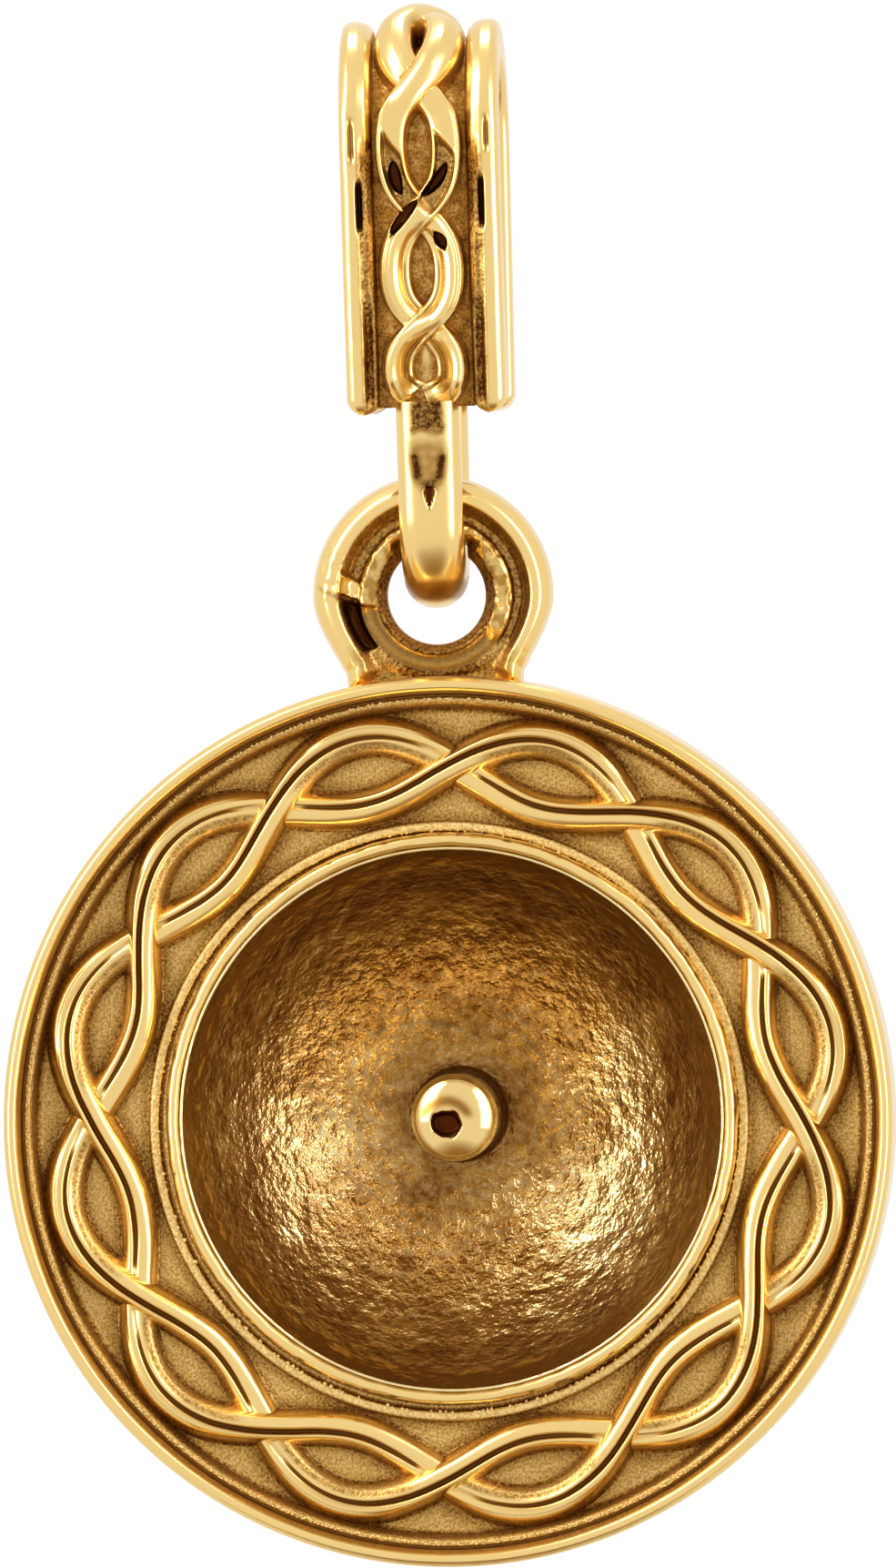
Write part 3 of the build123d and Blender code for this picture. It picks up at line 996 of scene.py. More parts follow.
    def repeat_tree(self) -> bpy.types.NodeTree:
        """Tree that sets a piece round an axis along Y, then makes it a little uneven."""
        kinds = {
            "Count": "Int",
            "Centre Height": "Float",
            "Unevenness": "Float",
            "Uneven Every": "Float",
            "Finish": "Material",
        }
        add, given, out = node_tree("repeat_round_disc", kinds)
        centre = add("ShaderNodeCombineXYZ", {"Z": given["Centre Height"]})
        start = {"Count": given["Count"], "Start Location": centre, "Offset": (0, 0, 0)}
        share = {0: add("GeometryNodeInputIndex"), 1: given["Count"]}
        turns = add("ShaderNodeMath", share, operation="DIVIDE")
        angle = add("ShaderNodeMath", {0: turns, 1: TAU}, operation="MULTIPLY")
        turn = add("FunctionNodeAxisAngleToRotation", {"Axis": (0, 1, 0), "Angle": angle})
        copies = {
            "Points": add("GeometryNodeMeshLine", start),
            "Instance": given["Geometry"],
            "Rotation": turn,
        }
        placed = add("GeometryNodeInstanceOnPoints", copies)
        real = add("GeometryNodeRealizeInstances", {"Geometry": placed})
        joined = add("GeometryNodeMergeByDistance", {"Geometry": real, "Distance": 0.001 * MM})
        position = add("GeometryNodeInputPosition")
        bumps = {"Vector": position, "Scale": given["Uneven Every"], "Detail": 2.0}
        colour = add("ShaderNodeTexNoise", bumps).outputs["Color"]
        centred = add("ShaderNodeVectorMath", {0: colour, 1: (0.5, 0.5, 0.5)}, operation="SUBTRACT")
        shift = {0: centred, "Scale": given["Unevenness"]}
        offset = add("ShaderNodeVectorMath", shift, operation="SCALE")
        moved = add("GeometryNodeSetPosition", {"Geometry": joined, "Offset": offset})
        dressed = {"Geometry": moved, "Material": given["Finish"]}
        feed(out, {0: add("GeometryNodeSetMaterial", dressed)})
        return out.id_data

    def build(self) -> bpy.types.Object:
        """Builds one sixth, repeats it round the disc and returns the whole border."""
        surface = Surface()
        for which in Strand:
            surface.add_grid(*self.strand(which), wrap_columns=True)
        values = {
            "Count": self.disc.rope.waves,
            "Centre Height": self.disc.layout.disc_z * MM,
            "Unevenness": 2 * self.unevenness * MM,
            "Uneven Every": 1 / (self.uneven_every * MM),
            "Finish": POLISHED.material(),
        }
        return grown(surface.build("rope_sixth"), self.repeat_tree(), values, "rope_border")


@dataclass
class GrainLine:
    """A ragged line of half-buried metal grains round the disc, as the worn mould left it."""

    disc: Disc
    name: str
    radius: float
    height: float
    grain: float
    count: int
    seed: int

    def tree(self) -> bpy.types.NodeTree:
        """Tree that sets flattened grains of uneven size on a circle."""
        kinds = {
            "Count": "Int",
            "Radius": "Float",
            "Grain": "Float",
            "Jitter": "Float",
            "Seed": "Int",
            "Centre": "Vector",
            "Finish": "Material",
        }
        add, given, out = node_tree(self.name, kinds)
        drawn = partial(add, "FunctionNodeRandomValue", data_type="FLOAT_VECTOR")
        circle = add("GeometryNodeMeshCircle", {"Vertices": given["Count"], "Radius": given["Radius"]})
        upright = {"Geometry": circle, "Translation": given["Centre"], "Rotation": (math.pi / 2, 0, 0)}
        stood = add("GeometryNodeTransform", upright)
        way = drawn({"Min": (-1, -0.2, -1), "Max": (1, 0.6, 1), "Seed": given["Seed"]})
        offset = add("ShaderNodeVectorMath", {0: way, "Scale": given["Jitter"]}, operation="SCALE")
        loose = add("GeometryNodeSetPosition", {"Geometry": stood, "Offset": offset})
        size = drawn({"Min": (0.5, 0.4, 0.5), "Max": (1.4, 0.8, 1.4), "Seed": given["Seed"]})
        ball = add("GeometryNodeMeshIcoSphere", {"Radius": given["Grain"], "Subdivisions": 1})
        grains = add("GeometryNodeInstanceOnPoints", {"Points": loose, "Instance": ball, "Scale": size})
        real = add("GeometryNodeRealizeInstances", {"Geometry": grains})
        rough = {"Geometry": real, "Name": GRIT, "Value": 1.0}
        marked = add("GeometryNodeStoreNamedAttribute", rough)
        dressed = {"Geometry": marked, "Material": given["Finish"]}
        feed(out, {0: add("GeometryNodeSetMaterial", dressed)})
        return out.id_data

    def build(self) -> bpy.types.Object:
        """Builds the grains as one mesh."""
        holder = linked("grain_holder", bpy.data.meshes.new("grain_holder"))
        values = {
            "Count": self.count,
            "Radius": self.radius * MM,
            "Grain": self.grain * MM,
            "Jitter": 0.9 * self.grain * MM,
            "Seed": self.seed,
            "Centre": (0.0, (self.disc.back_y - self.height) * MM, self.disc.layout.disc_z * MM),
            "Finish": BLASTED.material(),
        }
        return grown(holder, self.tree(), values, self.name)


@dataclass
class HangingRing:
    """The ring on the disc's top edge: a polished outer bead, a groove, a rough collar and its foot."""

    disc: Disc
    middle_radius: float = 1.05
    hole_radius: float = 0.605
    outer_radius: float = 1.49
    collar_radius: float = 0.94
    half_thickness: float = 0.43
    foot_depth: float = 1.16
    foot_half_width: float = 1.08
    waist: float = 1.426
    off_centre: float = -0.045
    clear_radius: float = 0.445
    clear_reach: float = 0.60
    clear_width: tuple[float, float] = (0.44, 0.60)
    segments: int = 340
    # By degrees clockwise from the top, seen from the front
    solder_angle: float = 277
    solder_lean: float = 18
    under_hole: Span = Span(125, 262, 8)
    corners: tuple[Span, Span] = (Span(206, 238, 5), Span(126, 152, 5))
    # By distance from the hole's middle
    slope_in: Span = Span(0.60, 0.735, 0.02)
    collar: Span = Span(0.72, 0.97, 0.03)
    groove: Span = Span(0.955, 1.075, 0.015)
    bank: Span = Span(1.075, 1.20, 0.02)
    groove_from: float = 0.95
    first_soft_ring: float = 0.73
    soft_ring_pitch: float = 0.135

    def outline(self, turn: np.ndarray) -> np.ndarray:
        """Outer radius at an angle from the top, where the flanks leave the circle for the foot."""
        angle = np.abs(np.degrees(np.arctan2(np.sin(turn), np.cos(turn))))
        foot_angle = math.degrees(math.atan2(self.foot_half_width, -self.foot_depth))
        foot_reach = math.hypot(self.foot_half_width, self.foot_depth)
        outer, waist = self.outer_radius, self.waist
        flank = (
            (0, outer), (92, outer), (98, outer - 0.012), (104, outer - 0.035), (114, waist),
            (123, waist), (131, waist + 0.03), (foot_angle, foot_reach),
        )
        side = read_table(flank, angle)
        below = self.foot_depth / np.maximum(-np.cos(np.radians(angle)), 0.3)
        return np.where(angle > foot_angle, below, side)

    def section(self) -> np.ndarray:
        """Section of the round part: distance from the hole's middle, and how far forward."""
        hole, outer, thick = self.hole_radius, self.outer_radius, self.half_thickness
        corners = [
            (hole, 0.00, 0), (0.610, 0.14, 0.05), (0.730, 0.31, 0.06), (0.780, 0.335, 0.05),
            (0.890, 0.335, 0.05), (self.collar_radius, 0.300, 0.04), (0.965, 0.215, 0.03),
            (1.050, 0.205, 0.04), (1.110, 0.270, 0.05), (1.190, thick - 0.02, 0.05),
            (1.225, thick, 0.05), (1.330, thick - 0.02, 0.12), (1.450, 0.28, 0.16),
            (outer, 0.04, 0.12), (1.470, -0.26, 0.12), (1.330, -thick, 0.14),
            (0.900, -thick, 0.14), (0.680, -0.30, 0.12), (hole, 0.00, 0),
        ]
        return rounded(corners, step=0.03)[:-1]

    def clear_tongue(self, points: np.ndarray) -> None:
        """Draws points where the tongue goes round the ring inside its bend, so that it can swing."""
        hinge = np.array([0.0, self.disc.layout.hinge_z])
        from_hinge = np.linalg.norm(points[..., 1:] - hinge, axis=-1)
        at_tongue = 1 - smooth(np.abs(points[..., 0]), *self.clear_width)
        at_tongue *= from_hinge < self.clear_reach
        pull = 1 - at_tongue * (1 - np.minimum(self.clear_radius / np.maximum(from_hinge, 1e-6), 1))
        points[..., 1:] = hinge + (points[..., 1:] - hinge) * pull[..., None]

    def build(self) -> bpy.types.Object:
        """Builds ring and foot as one closed mesh."""
        turn = full_turn(self.segments)
        section = self.section()
        reach, forward = section[:, 0][None], section[:, 1][None]
        collar_edge = self.collar_radius
        squeeze = (self.outline(turn) - collar_edge) / (self.outer_radius - collar_edge)
        radius = np.where(reach > collar_edge, collar_edge + (reach - collar_edge) * squeeze, reach)
        angle = np.degrees(turn)
        # Between the flanks the bead has run out and a crescent lies low behind the disc's rim
        between = smooth(-np.abs(angle - 180), -44, -36)
        low_front = np.where(reach > self.groove_from, np.minimum(forward, 0.20), forward)
        level = forward + (low_front - forward) * between * (forward > 0)
        # Under the hole the collar fades into soft rings
        calm = self.under_hole.of(angle)
        rings = np.cos(TAU * (reach - self.first_soft_ring) / self.soft_ring_pitch)
        at_bead = smooth(reach, 1.05, 1.15)
        soft = (0.235 + 0.006 * rings) * (1 - at_bead) + level * at_bead
        level = level + calm * hump(reach, 0.72, 1.16, 0.03) * (forward > 0.1) * (soft - level)
        # Solder joins the ring on its left: a patch that fills the groove, a seam and a notch below
        inwards = (self.outer_radius - reach) / (self.outer_radius - self.hole_radius)
        seam = self.solder_angle - self.solder_lean * inwards
        patch = hump(angle, seam + 2, seam + 15, 1.2) * hump(reach, 0.95, 1.20, 0.02)
        notch = hump(angle, seam - 36, seam - 2, 2.0) * hump(reach, 0.97, 1.14, 0.03)
        ridge = bell(angle, seam, 1.1) * hump(reach, 0.75, 1.4, 0.05)
        level = level + (forward > 0.1) * (0.12 * patch - 0.10 * notch + 0.025 * ridge)
        beyond = np.clip((reach - 1.0) / (self.outer_radius - 1.0), 0, 1)
        x = radius * np.sin(turn) + self.off_centre * beyond
        z = self.disc.layout.hinge_z - self.middle_radius + radius * np.cos(turn)
        points = places(x, -level, z)
        front = (forward > 0.12).astype(float)
        collar = self.collar.of(reach) * front
        corner = sum(span.of(angle) for span in self.corners) * front * hump(reach, 0.95, 1.3, 0.05)
        messy = hump(angle, seam - 6, seam + 22, 4) * front
        rough = noise_at(points, 0.17, 2.0) + 0.6 * noise_at(points, 0.08, 4.0)
        edge = noise_at(points, 0.12, 6.0)
        lively = 1 - 0.75 * calm
        points[..., 1] += 0.030 * rough * np.clip(collar + corner + 0.8 * messy, 0, 1) * lively
        self.clear_tongue(points)
        slope_in = self.slope_in.of(reach) * (forward > -0.1)
        groove = self.groove.of(reach) * front
        bank = self.bank.of(reach) * front
        crescent = between * (reach > self.groove_from) * front
        wear_and_highlight = smooth(edge, -0.05, 0.20)
        under_hole = calm * hump(reach, 0.72, 1.16, 0.05) * front
        patina = (
            0.30 * slope_in
            + (0.26 * groove + 0.20 * bank) * (1 - patch) * (1 - 0.7 * corner) * (1 - calm)
            + 0.12 * crescent
            + 0.6 * notch * front
            + (0.10 + 0.20 * wear_and_highlight) * collar * (1 - calm)
            + (0.40 - 0.08 * rings) * under_hole * (1 - corner)
            + 0.16 * corner
            + 0.3 * ridge * front
        )
        rough_skin = groove + 0.8 * bank + slope_in + crescent + 0.25 * collar + 0.5 * corner
        grid = (points, patina, np.clip(rough_skin, 0, 1) * (1 - patch))
        return grid_piece("hanging_ring", POLISHED, *grid, wrap_rows=True, wrap_columns=True)


# The bail


@dataclass
class BailPath:
    """The bail's loop as seen from the side: a half round top and a straight, leaning front and back."""

    layout: Layout
    seat_radius: float = 1.05
    top_radius: float = 1.55
    tongue_inner_radius: float = 0.49
    tongue_outer_radius: float = 1.21

    @property
    def centre_z(self) -> float:
        """Height of the top's centre under the chain seat."""
        return -self.seat_radius

    def lean(self, top: float, bottom: float) -> float:
        """Sine of the slope of a straight side between two radii."""
        return (top - bottom) / (self.centre_z - self.layout.hinge_z)

    @property
    def tilt(self) -> float:
        """Slope of the straight outer sides, in radians."""
        return math.asin(self.lean(self.top_radius, self.tongue_outer_radius))

    @property
    def round_turn(self) -> float:
        """How far the round top reaches down each side, in radians."""
        return math.pi / 2 + self.tilt

    def place(self, length: np.ndarray, depth: np.ndarray | float) -> tuple[np.ndarray, np.ndarray]:
        """Places on the loop's front and back.

        Args:
            length: From the loop's highest point, positive down the front and negative down the back.
            depth: How far under the outer surface.

        Returns:
            Two arrays: y and z of each place.
        """
        along = np.abs(length)
        angle = np.minimum(along / self.top_radius, self.round_turn)
        extra = np.maximum(along - self.round_turn * self.top_radius, 0)
        radius = self.top_radius - depth
        y = radius * np.sin(angle) - extra * math.sin(self.tilt)
        z = self.centre_z + radius * np.cos(angle) - extra * math.cos(self.tilt)
        return -np.sign(length + 1e-12) * y, z

    def length_at(self, z: float) -> float:
        """Length from the top to a height on the straight front."""
        start = self.centre_z + self.top_radius * math.cos(self.round_turn)
        return self.top_radius * self.round_turn + (start - z) / math.cos(self.tilt)

    def wall(self, length: np.ndarray) -> np.ndarray:
        """Thickness of the loop at each length."""
        extra = np.maximum(np.abs(length) - self.round_turn * self.top_radius, 0)
        difference = self.lean(self.seat_radius, self.tongue_inner_radius)
        difference -= self.lean(self.top_radius, self.tongue_outer_radius)
        return self.top_radius - self.seat_radius + extra * difference


@dataclass(frozen=True)
class Slit:
    """A groove along a rail, by its ends' heights, its place from the outer edge and its darkness."""

    top_z: float
    bottom_z: float
    from_edge: float
    half_width: float
    depth: float
    patina: float
    end_length: float = 0.06

    def cut(self, height: np.ndarray, edge: np.ndarray) -> np.ndarray:
        """1 in the groove and 0 around it, by height and distance from the outer edge."""
        run = hump(-height, -self.top_z, -self.bottom_z, self.end_length)
        return run * np.exp(-np.abs((edge - self.from_edge) / self.half_width) ** 3)


@dataclass
class BailBand:
    """Two rails and the channel between them, all round the loop down to the rails' ends."""

    path: BailPath
    rail_width: float = 0.42
    rail_end_z: float = -4.37
    channel_end_z: float = -4.29
    channel_depth: float = 0.22
    rail_end_radius: float = 0.21
    stations: int = 250
    floor_columns: int = 41
    # How far under the chain's seat each worn place of a rail runs
    panel_run: Span = Span(0.62, 1.10, 0.05)
    shoulder_run: Span = Span(1.00, 2.15, 0.10)
    low_end_run: Span = Span(3.10, 4.30, 0.15)
    left_slits: tuple[Slit, ...] = (
        Slit(-0.72, -1.22, 0.150, 0.036, 0.05, 0.62),
        Slit(-1.50, -2.08, 0.232, 0.034, 0.13, 0.85),
        Slit(-2.10, -3.00, 0.270, 0.050, 0.02, 0.10),
        Slit(-3.00, -4.22, 0.300, 0.045, 0.06, 0.35, 0.20),
    )
    right_slits: tuple[Slit, ...] = (
        Slit(-0.70, -1.12, 0.150, 0.034, 0.05, 0.62),
        Slit(-1.46, -2.05, 0.232, 0.032, 0.13, 0.85),
        Slit(-2.10, -3.00, 0.270, 0.050, 0.02, 0.10),
        Slit(-3.00, -4.22, 0.300, 0.045, 0.06, 0.30, 0.20),
    )

    def rail(self, side: int) -> Relief:
        """One rail with round ends.

        Args:
            side: 1 for the right rail and -1 for the left.

        Returns:
            Closed sections by points by x, y, z, their patina and their grit.
        """
        half = self.path.layout.bail_half_width
        end = self.path.length_at(self.rail_end_z)
        ease = (1 - np.cos(np.linspace(0, math.pi, self.stations))) / 2
        length = (end * (2 * ease - 1))[:, None]
        wall = self.path.wall(length)
        corners = [
            (0.0, 0.42, 0), (0.0, 0.15, 0.10), (0.03, 0.045, 0.08), (0.10, 0.0, 0.09), (0.22, 0.0, 0.10),
            (0.32, 0.035, 0.10), (0.385, 0.10, 0.06), (self.rail_width, self.channel_depth + 0.02, 0.05),
            (self.rail_width, 0.42, 0),
        ]
        top = rounded(corners, step=0.018)
        edge, depth = top[:, 0][None], top[:, 1][None]
        height = self.path.place(length, 0.0)[1]
        front = (length > 0).astype(float)
        patina = np.zeros((len(length), len(top)))
        depth = np.broadcast_to(depth, patina.shape).copy()
        for slit in self.left_slits if side < 0 else self.right_slits:
            cut = slit.cut(height, edge) * front
            depth += slit.depth * cut * (edge > 0.02) * (edge < 0.40)
            patina += slit.patina * cut
        # The flat panel inside the first slit, the blasted shoulder below it and the worn lower end
        panel = self.panel_run.of(-height) * front
        depth += 0.012 * panel * hump(edge, 0.19, 0.40, 0.02)
        patina += 0.50 * panel * hump(edge, 0.335, 0.40, 0.015)
        inner_half = smooth(-height, 1.00, 1.25) * front * hump(edge, 0.215, 0.43, 0.03)
        mottle = noise_at(places(edge, length, 0.0), 0.14, 8.0)
        patina += (0.17 + 0.16 * mottle) * inner_half
        shoulder = self.shoulder_run.of(-height) * front * hump(edge, 0.27, 0.42, 0.03)
        low_end = self.low_end_run.of(-height) * front * hump(edge, 0.25, 0.42, 0.03)
        depth += 0.035 * (shoulder + low_end)
        patina += 0.10 * shoulder + 0.06 * low_end + 0.10 * smooth(depth, 0.12, 0.22) * (edge > 0.3)
        grit = np.clip(shoulder + 0.8 * low_end + inner_half + (edge > 0.39), 0, 1)
        x = np.broadcast_to(half - edge, depth.shape)
        under_x = half - np.array([self.rail_width, self.rail_width - 0.04, 0.08, 0.02, 0.0])
        under = wall - np.array([0.06, 0.0, 0.0, 0.02, 0.08])[None]
        x = np.concatenate([x, np.broadcast_to(under_x, under.shape)], 1)
        depth = np.concatenate([depth, under], 1)
        hidden = np.zeros_like(under)
        patina = np.concatenate([patina, hidden], 1)
        grit = np.concatenate([grit, hidden], 1)
        reach = np.clip((end - np.abs(length)) / self.rail_end_radius, 0, 1)
        shrink = np.sqrt(np.clip(1 - (1 - reach) ** 2, 0, 1))
        middle_x = half - self.rail_end_radius
        x = middle_x + (x - middle_x) * shrink
        # The end is also rounded from front to back
        middle = wall / 2
        depth = middle + (depth - middle) * (0.50 + 0.50 * shrink)
        points = places(side * x, *self.path.place(length, depth))
        points[..., 1] += 0.008 * noise_at(points, 0.30, 4.0) * (depth < middle)
        return points, patina, grit

    def channel(self) -> Relief:
        """The strip between the rails, closed all round its section, which the back fills flush."""
        half = self.path.layout.bail_half_width - self.rail_width + 0.03
        end = self.path.length_at(self.channel_end_z)
        length = np.linspace(-end, end, self.stations)[:, None]
        wall = self.path.wall(length)
        filled = smooth(-length, self.path.top_radius, 1.25 * self.path.top_radius)
        across = np.linspace(-half, half, self.floor_columns)[None]
        y, z = self.path.place(length, 0.0)
        coarse = noise_at(places(across, y, z), 0.11, 6.0)
        # The floor rises a little in the lowest eye, where the buff has reached it
        swell = np.exp(-(((z + 3.62) / 0.30) ** 2 + (across / 0.10) ** 2)) * (length > 0)
        depth = self.channel_depth * (1 - filled) + 0.02 * filled
        depth = depth + (0.010 * coarse - 0.05 * swell) * (1 - filled)
        knot_eye = bell(across, 0, 0.16) * hump(-z, -0.60, 0.45, 0.10)
        patina = 0.19 + 0.20 * coarse + 0.16 * smooth(np.abs(across), 0.40, 0.50) + 0.12 * knot_eye
        patina = patina * (1 - filled) * (1 - 0.8 * swell)
        grit = (1 - filled) * (1 - 0.8 * swell) * np.ones_like(across)
        points = places(across, *self.path.place(length, depth))
        base = places(np.array([half, -half]), *self.path.place(length, wall - 0.001))
        return on_base((points, patina, grit), base, 0.0)

    def build(self) -> list[bpy.types.Object]:
        """Builds the rails and the channel."""
        rails = Surface()
        for side in (1, -1):
            add_tube(rails, *self.rail(side))
        channel = Surface()
        add_tube(channel, *self.channel())
        return [rails.build("bail_rails", POLISHED), channel.build("bail_channel", TONED_BAND)]


class TwistSection(Enum):
    """Relief across a strand of the twist, from its eye side to its outer side, as shares."""

    BALL = (0.0, 0.78, 0.92, 1.0, 1.03, 1.0, 0.93, 0.84, 0.72, 0.50, 0.0)
    LIPPED = (0.0, 0.66, 0.82, 0.88, 0.92, 0.94, 0.95, 0.96, 1.0, 0.90, 0.0)
    CORDED = (0.0, 0.60, 0.66, 0.66, 0.92, 1.02, 1.00, 0.86, 0.84, 0.68, 0.0)
    PLUMP = (0.0, 0.54, 0.60, 0.46, 0.78, 1.0, 1.08, 1.04, 0.94, 0.72, 0.0)


@dataclass(frozen=True)
class Slot:
    """A black pointed slot cut in a strand of the twist, by counts of crossings and its place across."""

    strand: Strand
    start: float
    end: float
    side_at_start: float
    side_at_end: float
    half_width: float

    def cut(self, crossing: np.ndarray, side: np.ndarray) -> np.ndarray:
        """1 in the slot and 0 around it."""
        share = np.clip((crossing - self.start) / (self.end - self.start), 0, 1)
        middle = self.side_at_start + (self.side_at_end - self.side_at_start) * share
        half_width = self.half_width * np.sqrt(np.sin(math.pi * share).clip(0.02, 1))
        across = 1 - smooth(np.abs(side - middle) / half_width, 0.65, 1.25)
        return across * hump(crossing, self.start, self.end, 0.02)


@dataclass
class BailTwist:
    """The twist in relief down the bail's front: a smooth knot, then slotted and fluted strands."""

    path: BailPath
    swing: float = 0.337
    width: float = 0.42
    squareness: float = 1.2
    floor_depth: float = 0.22
    height: float = 0.33
    rise: float = 0.05
    root: float = 0.05
    under_share: float = 0.30
    partner_reach: float = 0.17
    sunk_height: float = -0.02
    crossings: tuple[float, ...] = (-1.62, 0.02, 1.57, 3.34, 4.62, 5.60)
    stations: int = 400
    across: int = 45
    # By count of crossings, but the hollow's width as a share across the strand
    knot_run: Span = Span(0.28, 0.98, 0.05)
    outer_crease_run: Span = Span(2.35, 2.85, 0.06)
    hollow_closes: tuple[float, float] = (1.92, 2.00)
    hollow_width: Span = Span(-0.56, 0.50, 0.13)
    grid: tuple[float, ...] = (-1.0, -0.85, -0.70, -0.50, -0.20, 0.10, 0.35, 0.55, 0.70, 0.85, 1.0)
    sections: tuple[tuple[float, TwistSection], ...] = (
        (-1.0, TwistSection.BALL),
        (1.02, TwistSection.BALL),
        (1.30, TwistSection.LIPPED),
        (1.96, TwistSection.LIPPED),
        (2.16, TwistSection.CORDED),
        (2.80, TwistSection.CORDED),
        (2.95, TwistSection.PLUMP),
        (4.0, TwistSection.PLUMP),
    )
    slots: tuple[Slot, ...] = (
        Slot(Strand.FIRST, 1.60, 1.84, 0.04, -0.10, 0.34),
        Slot(Strand.SECOND, 1.62, 1.92, 0.05, -0.60, 0.30),
        Slot(Strand.SECOND, 1.96, 2.21, -0.62, -0.58, 0.30),
        Slot(Strand.FIRST, 2.15, 2.30, -0.16, -0.08, 0.32),
    )

    def lengths(self, crossing: np.ndarray) -> tuple[np.ndarray, np.ndarray]:
        """Length down the loop at a count of crossings, and how fast it grows."""
        fit = np.polynomial.Polynomial.fit(np.arange(-1, 5), self.crossings, 4)
        return fit(crossing), fit.deriv()(crossing)

    def shares(self, crossing: np.ndarray, away: np.ndarray) -> np.ndarray:
        """Height share across the strand, blended between the sections that follow each other."""
        starts = [k for k, _ in self.sections]
        tables = [np.interp(away, self.grid, kind.value) for _, kind in self.sections]
        result = np.zeros_like(away)
        for near, far, first, second in zip(starts, starts[1:], tables, tables[1:]):
            share = smooth(crossing, near, far)
            inside = (crossing >= near) & (crossing < far + 1e-9)
            result = np.where(inside, first * (1 - share) + second * share, result)
        return result

    def strand(self, which: Strand) -> Relief:
        """One strand of the twist.

        Args:
            which: The first swings right below the top crossing.

        Returns:
            Closed sections by points by x, y, z, their patina and their grit.
        """
        crossing = np.linspace(-1, 4, self.stations)[:, None]
        wave = np.pi * crossing
        length, pace = self.lengths(crossing)
        full = math.tanh(self.squareness)
        bent = np.tanh(self.squareness * np.sin(wave)) / full
        steepness = self.squareness * (1 - (bent * full) ** 2)
        # Over the top the strands close up to a knob with a narrow eye
        knob = 1 - smooth(np.abs(crossing - 0.45), 0.35, 0.80)
        closed = knob * (1 - smooth(crossing, 0.20, 0.40))
        sway = which.value * self.swing * bent * (1 - 0.095 * knob - 0.205 * closed)
        slope = which.value * self.swing * np.pi * np.cos(wave) / pace
        slope = slope * steepness / full
        side = np.broadcast_to(np.linspace(-1.04, 1.04, self.across), (self.stations, self.across))
        wide = np.broadcast_to(crossing, side.shape)
        # Each side of the strand turns from the eye's side to the outer side over a crossing
        outward = np.clip(np.sin(wave) * which.value / 0.55, -1, 1)
        right = self.shares(wide, side)
        left = self.shares(wide, -side)
        share = right * (1 + outward) / 2 + left * (1 - outward) / 2
        over = -which.value * np.cos(wave)
        top = self.height + self.rise * over + 0.05 * knob
        to_end = np.minimum(crossing + 1, 4 - crossing)
        raised = top * share * (0.10 + 0.90 * smooth(to_end, 0.0, 0.40))
        half_width = self.width / 2 * (1 + 0.25 * knob + 0.18 * closed)
        norm = np.sqrt(1 + slope**2)
        x = sway + side * half_width / norm
        shifted = length - side * half_width * slope / norm
        # Where a strand runs under its partner it sinks out of the partner's way
        to_partner = np.abs(x + sway + (shifted - length) * slope) / norm
        under = (over < 0) & (np.abs(crossing - np.round(crossing)) < self.under_share)
        away = side * np.sign(np.sin(wave) * which.value + 1e-9)
        # Below the knot a hollow opens between the strand's lips, on its left first
        opens = 1.26 + 0.16 * (side + 1)
        hollow = smooth(wide, opens, opens + 0.10) * self.hollow_width.of(away)
        hollow = hollow * (1 - smooth(wide, *self.hollow_closes))
        slots = sum(s.cut(wide, side) for s in self.slots if s.strand is which)
        raised = raised * (1 - 0.40 * hollow) * (1 - 0.72 * slots)
        sunk = under & (to_partner < self.partner_reach)
        raised = np.where(sunk, np.minimum(raised, self.sunk_height), raised)
        raised = np.where(np.abs(side) > 1.0, -self.root, raised)
        patina = 0.26 * hollow + slots
        inner_crease = bell(away, -0.55, 0.12)
        outer_crease = bell(away, 0.60, 0.07)
        patina = patina + 0.28 * inner_crease * smooth(crossing, 2.35, 2.45)
        patina = patina + 0.14 * outer_crease * self.outer_crease_run.of(crossing)
        foot = 1 - smooth(share, 0.10, 0.55)
        in_knot = self.knot_run.of(crossing) * smooth(-away, 0.55, 0.88)
        patina = patina + 0.15 * foot + 0.24 * in_knot
        grit = np.clip(foot + hollow + 0.6 * inner_crease * smooth(crossing, 2.8, 3.0), 0, 1)
        points = places(x, *self.path.place(shifted, self.floor_depth - raised))
        # The strand's root is closed by three points under it
        picked = [-1, self.across // 2, 0]
        base_depth = self.floor_depth + self.root + 0.02
        base = places(x[:, picked], *self.path.place(shifted[:, picked], base_depth))
        return on_base((points, patina, grit), base, 1.0)

    def build(self) -> bpy.types.Object:
        """Builds both strands as one mesh."""
        surface = Surface()
        for which in Strand:
            add_tube(surface, *self.strand(which))
        return surface.build("bail_twist", POLISHED)


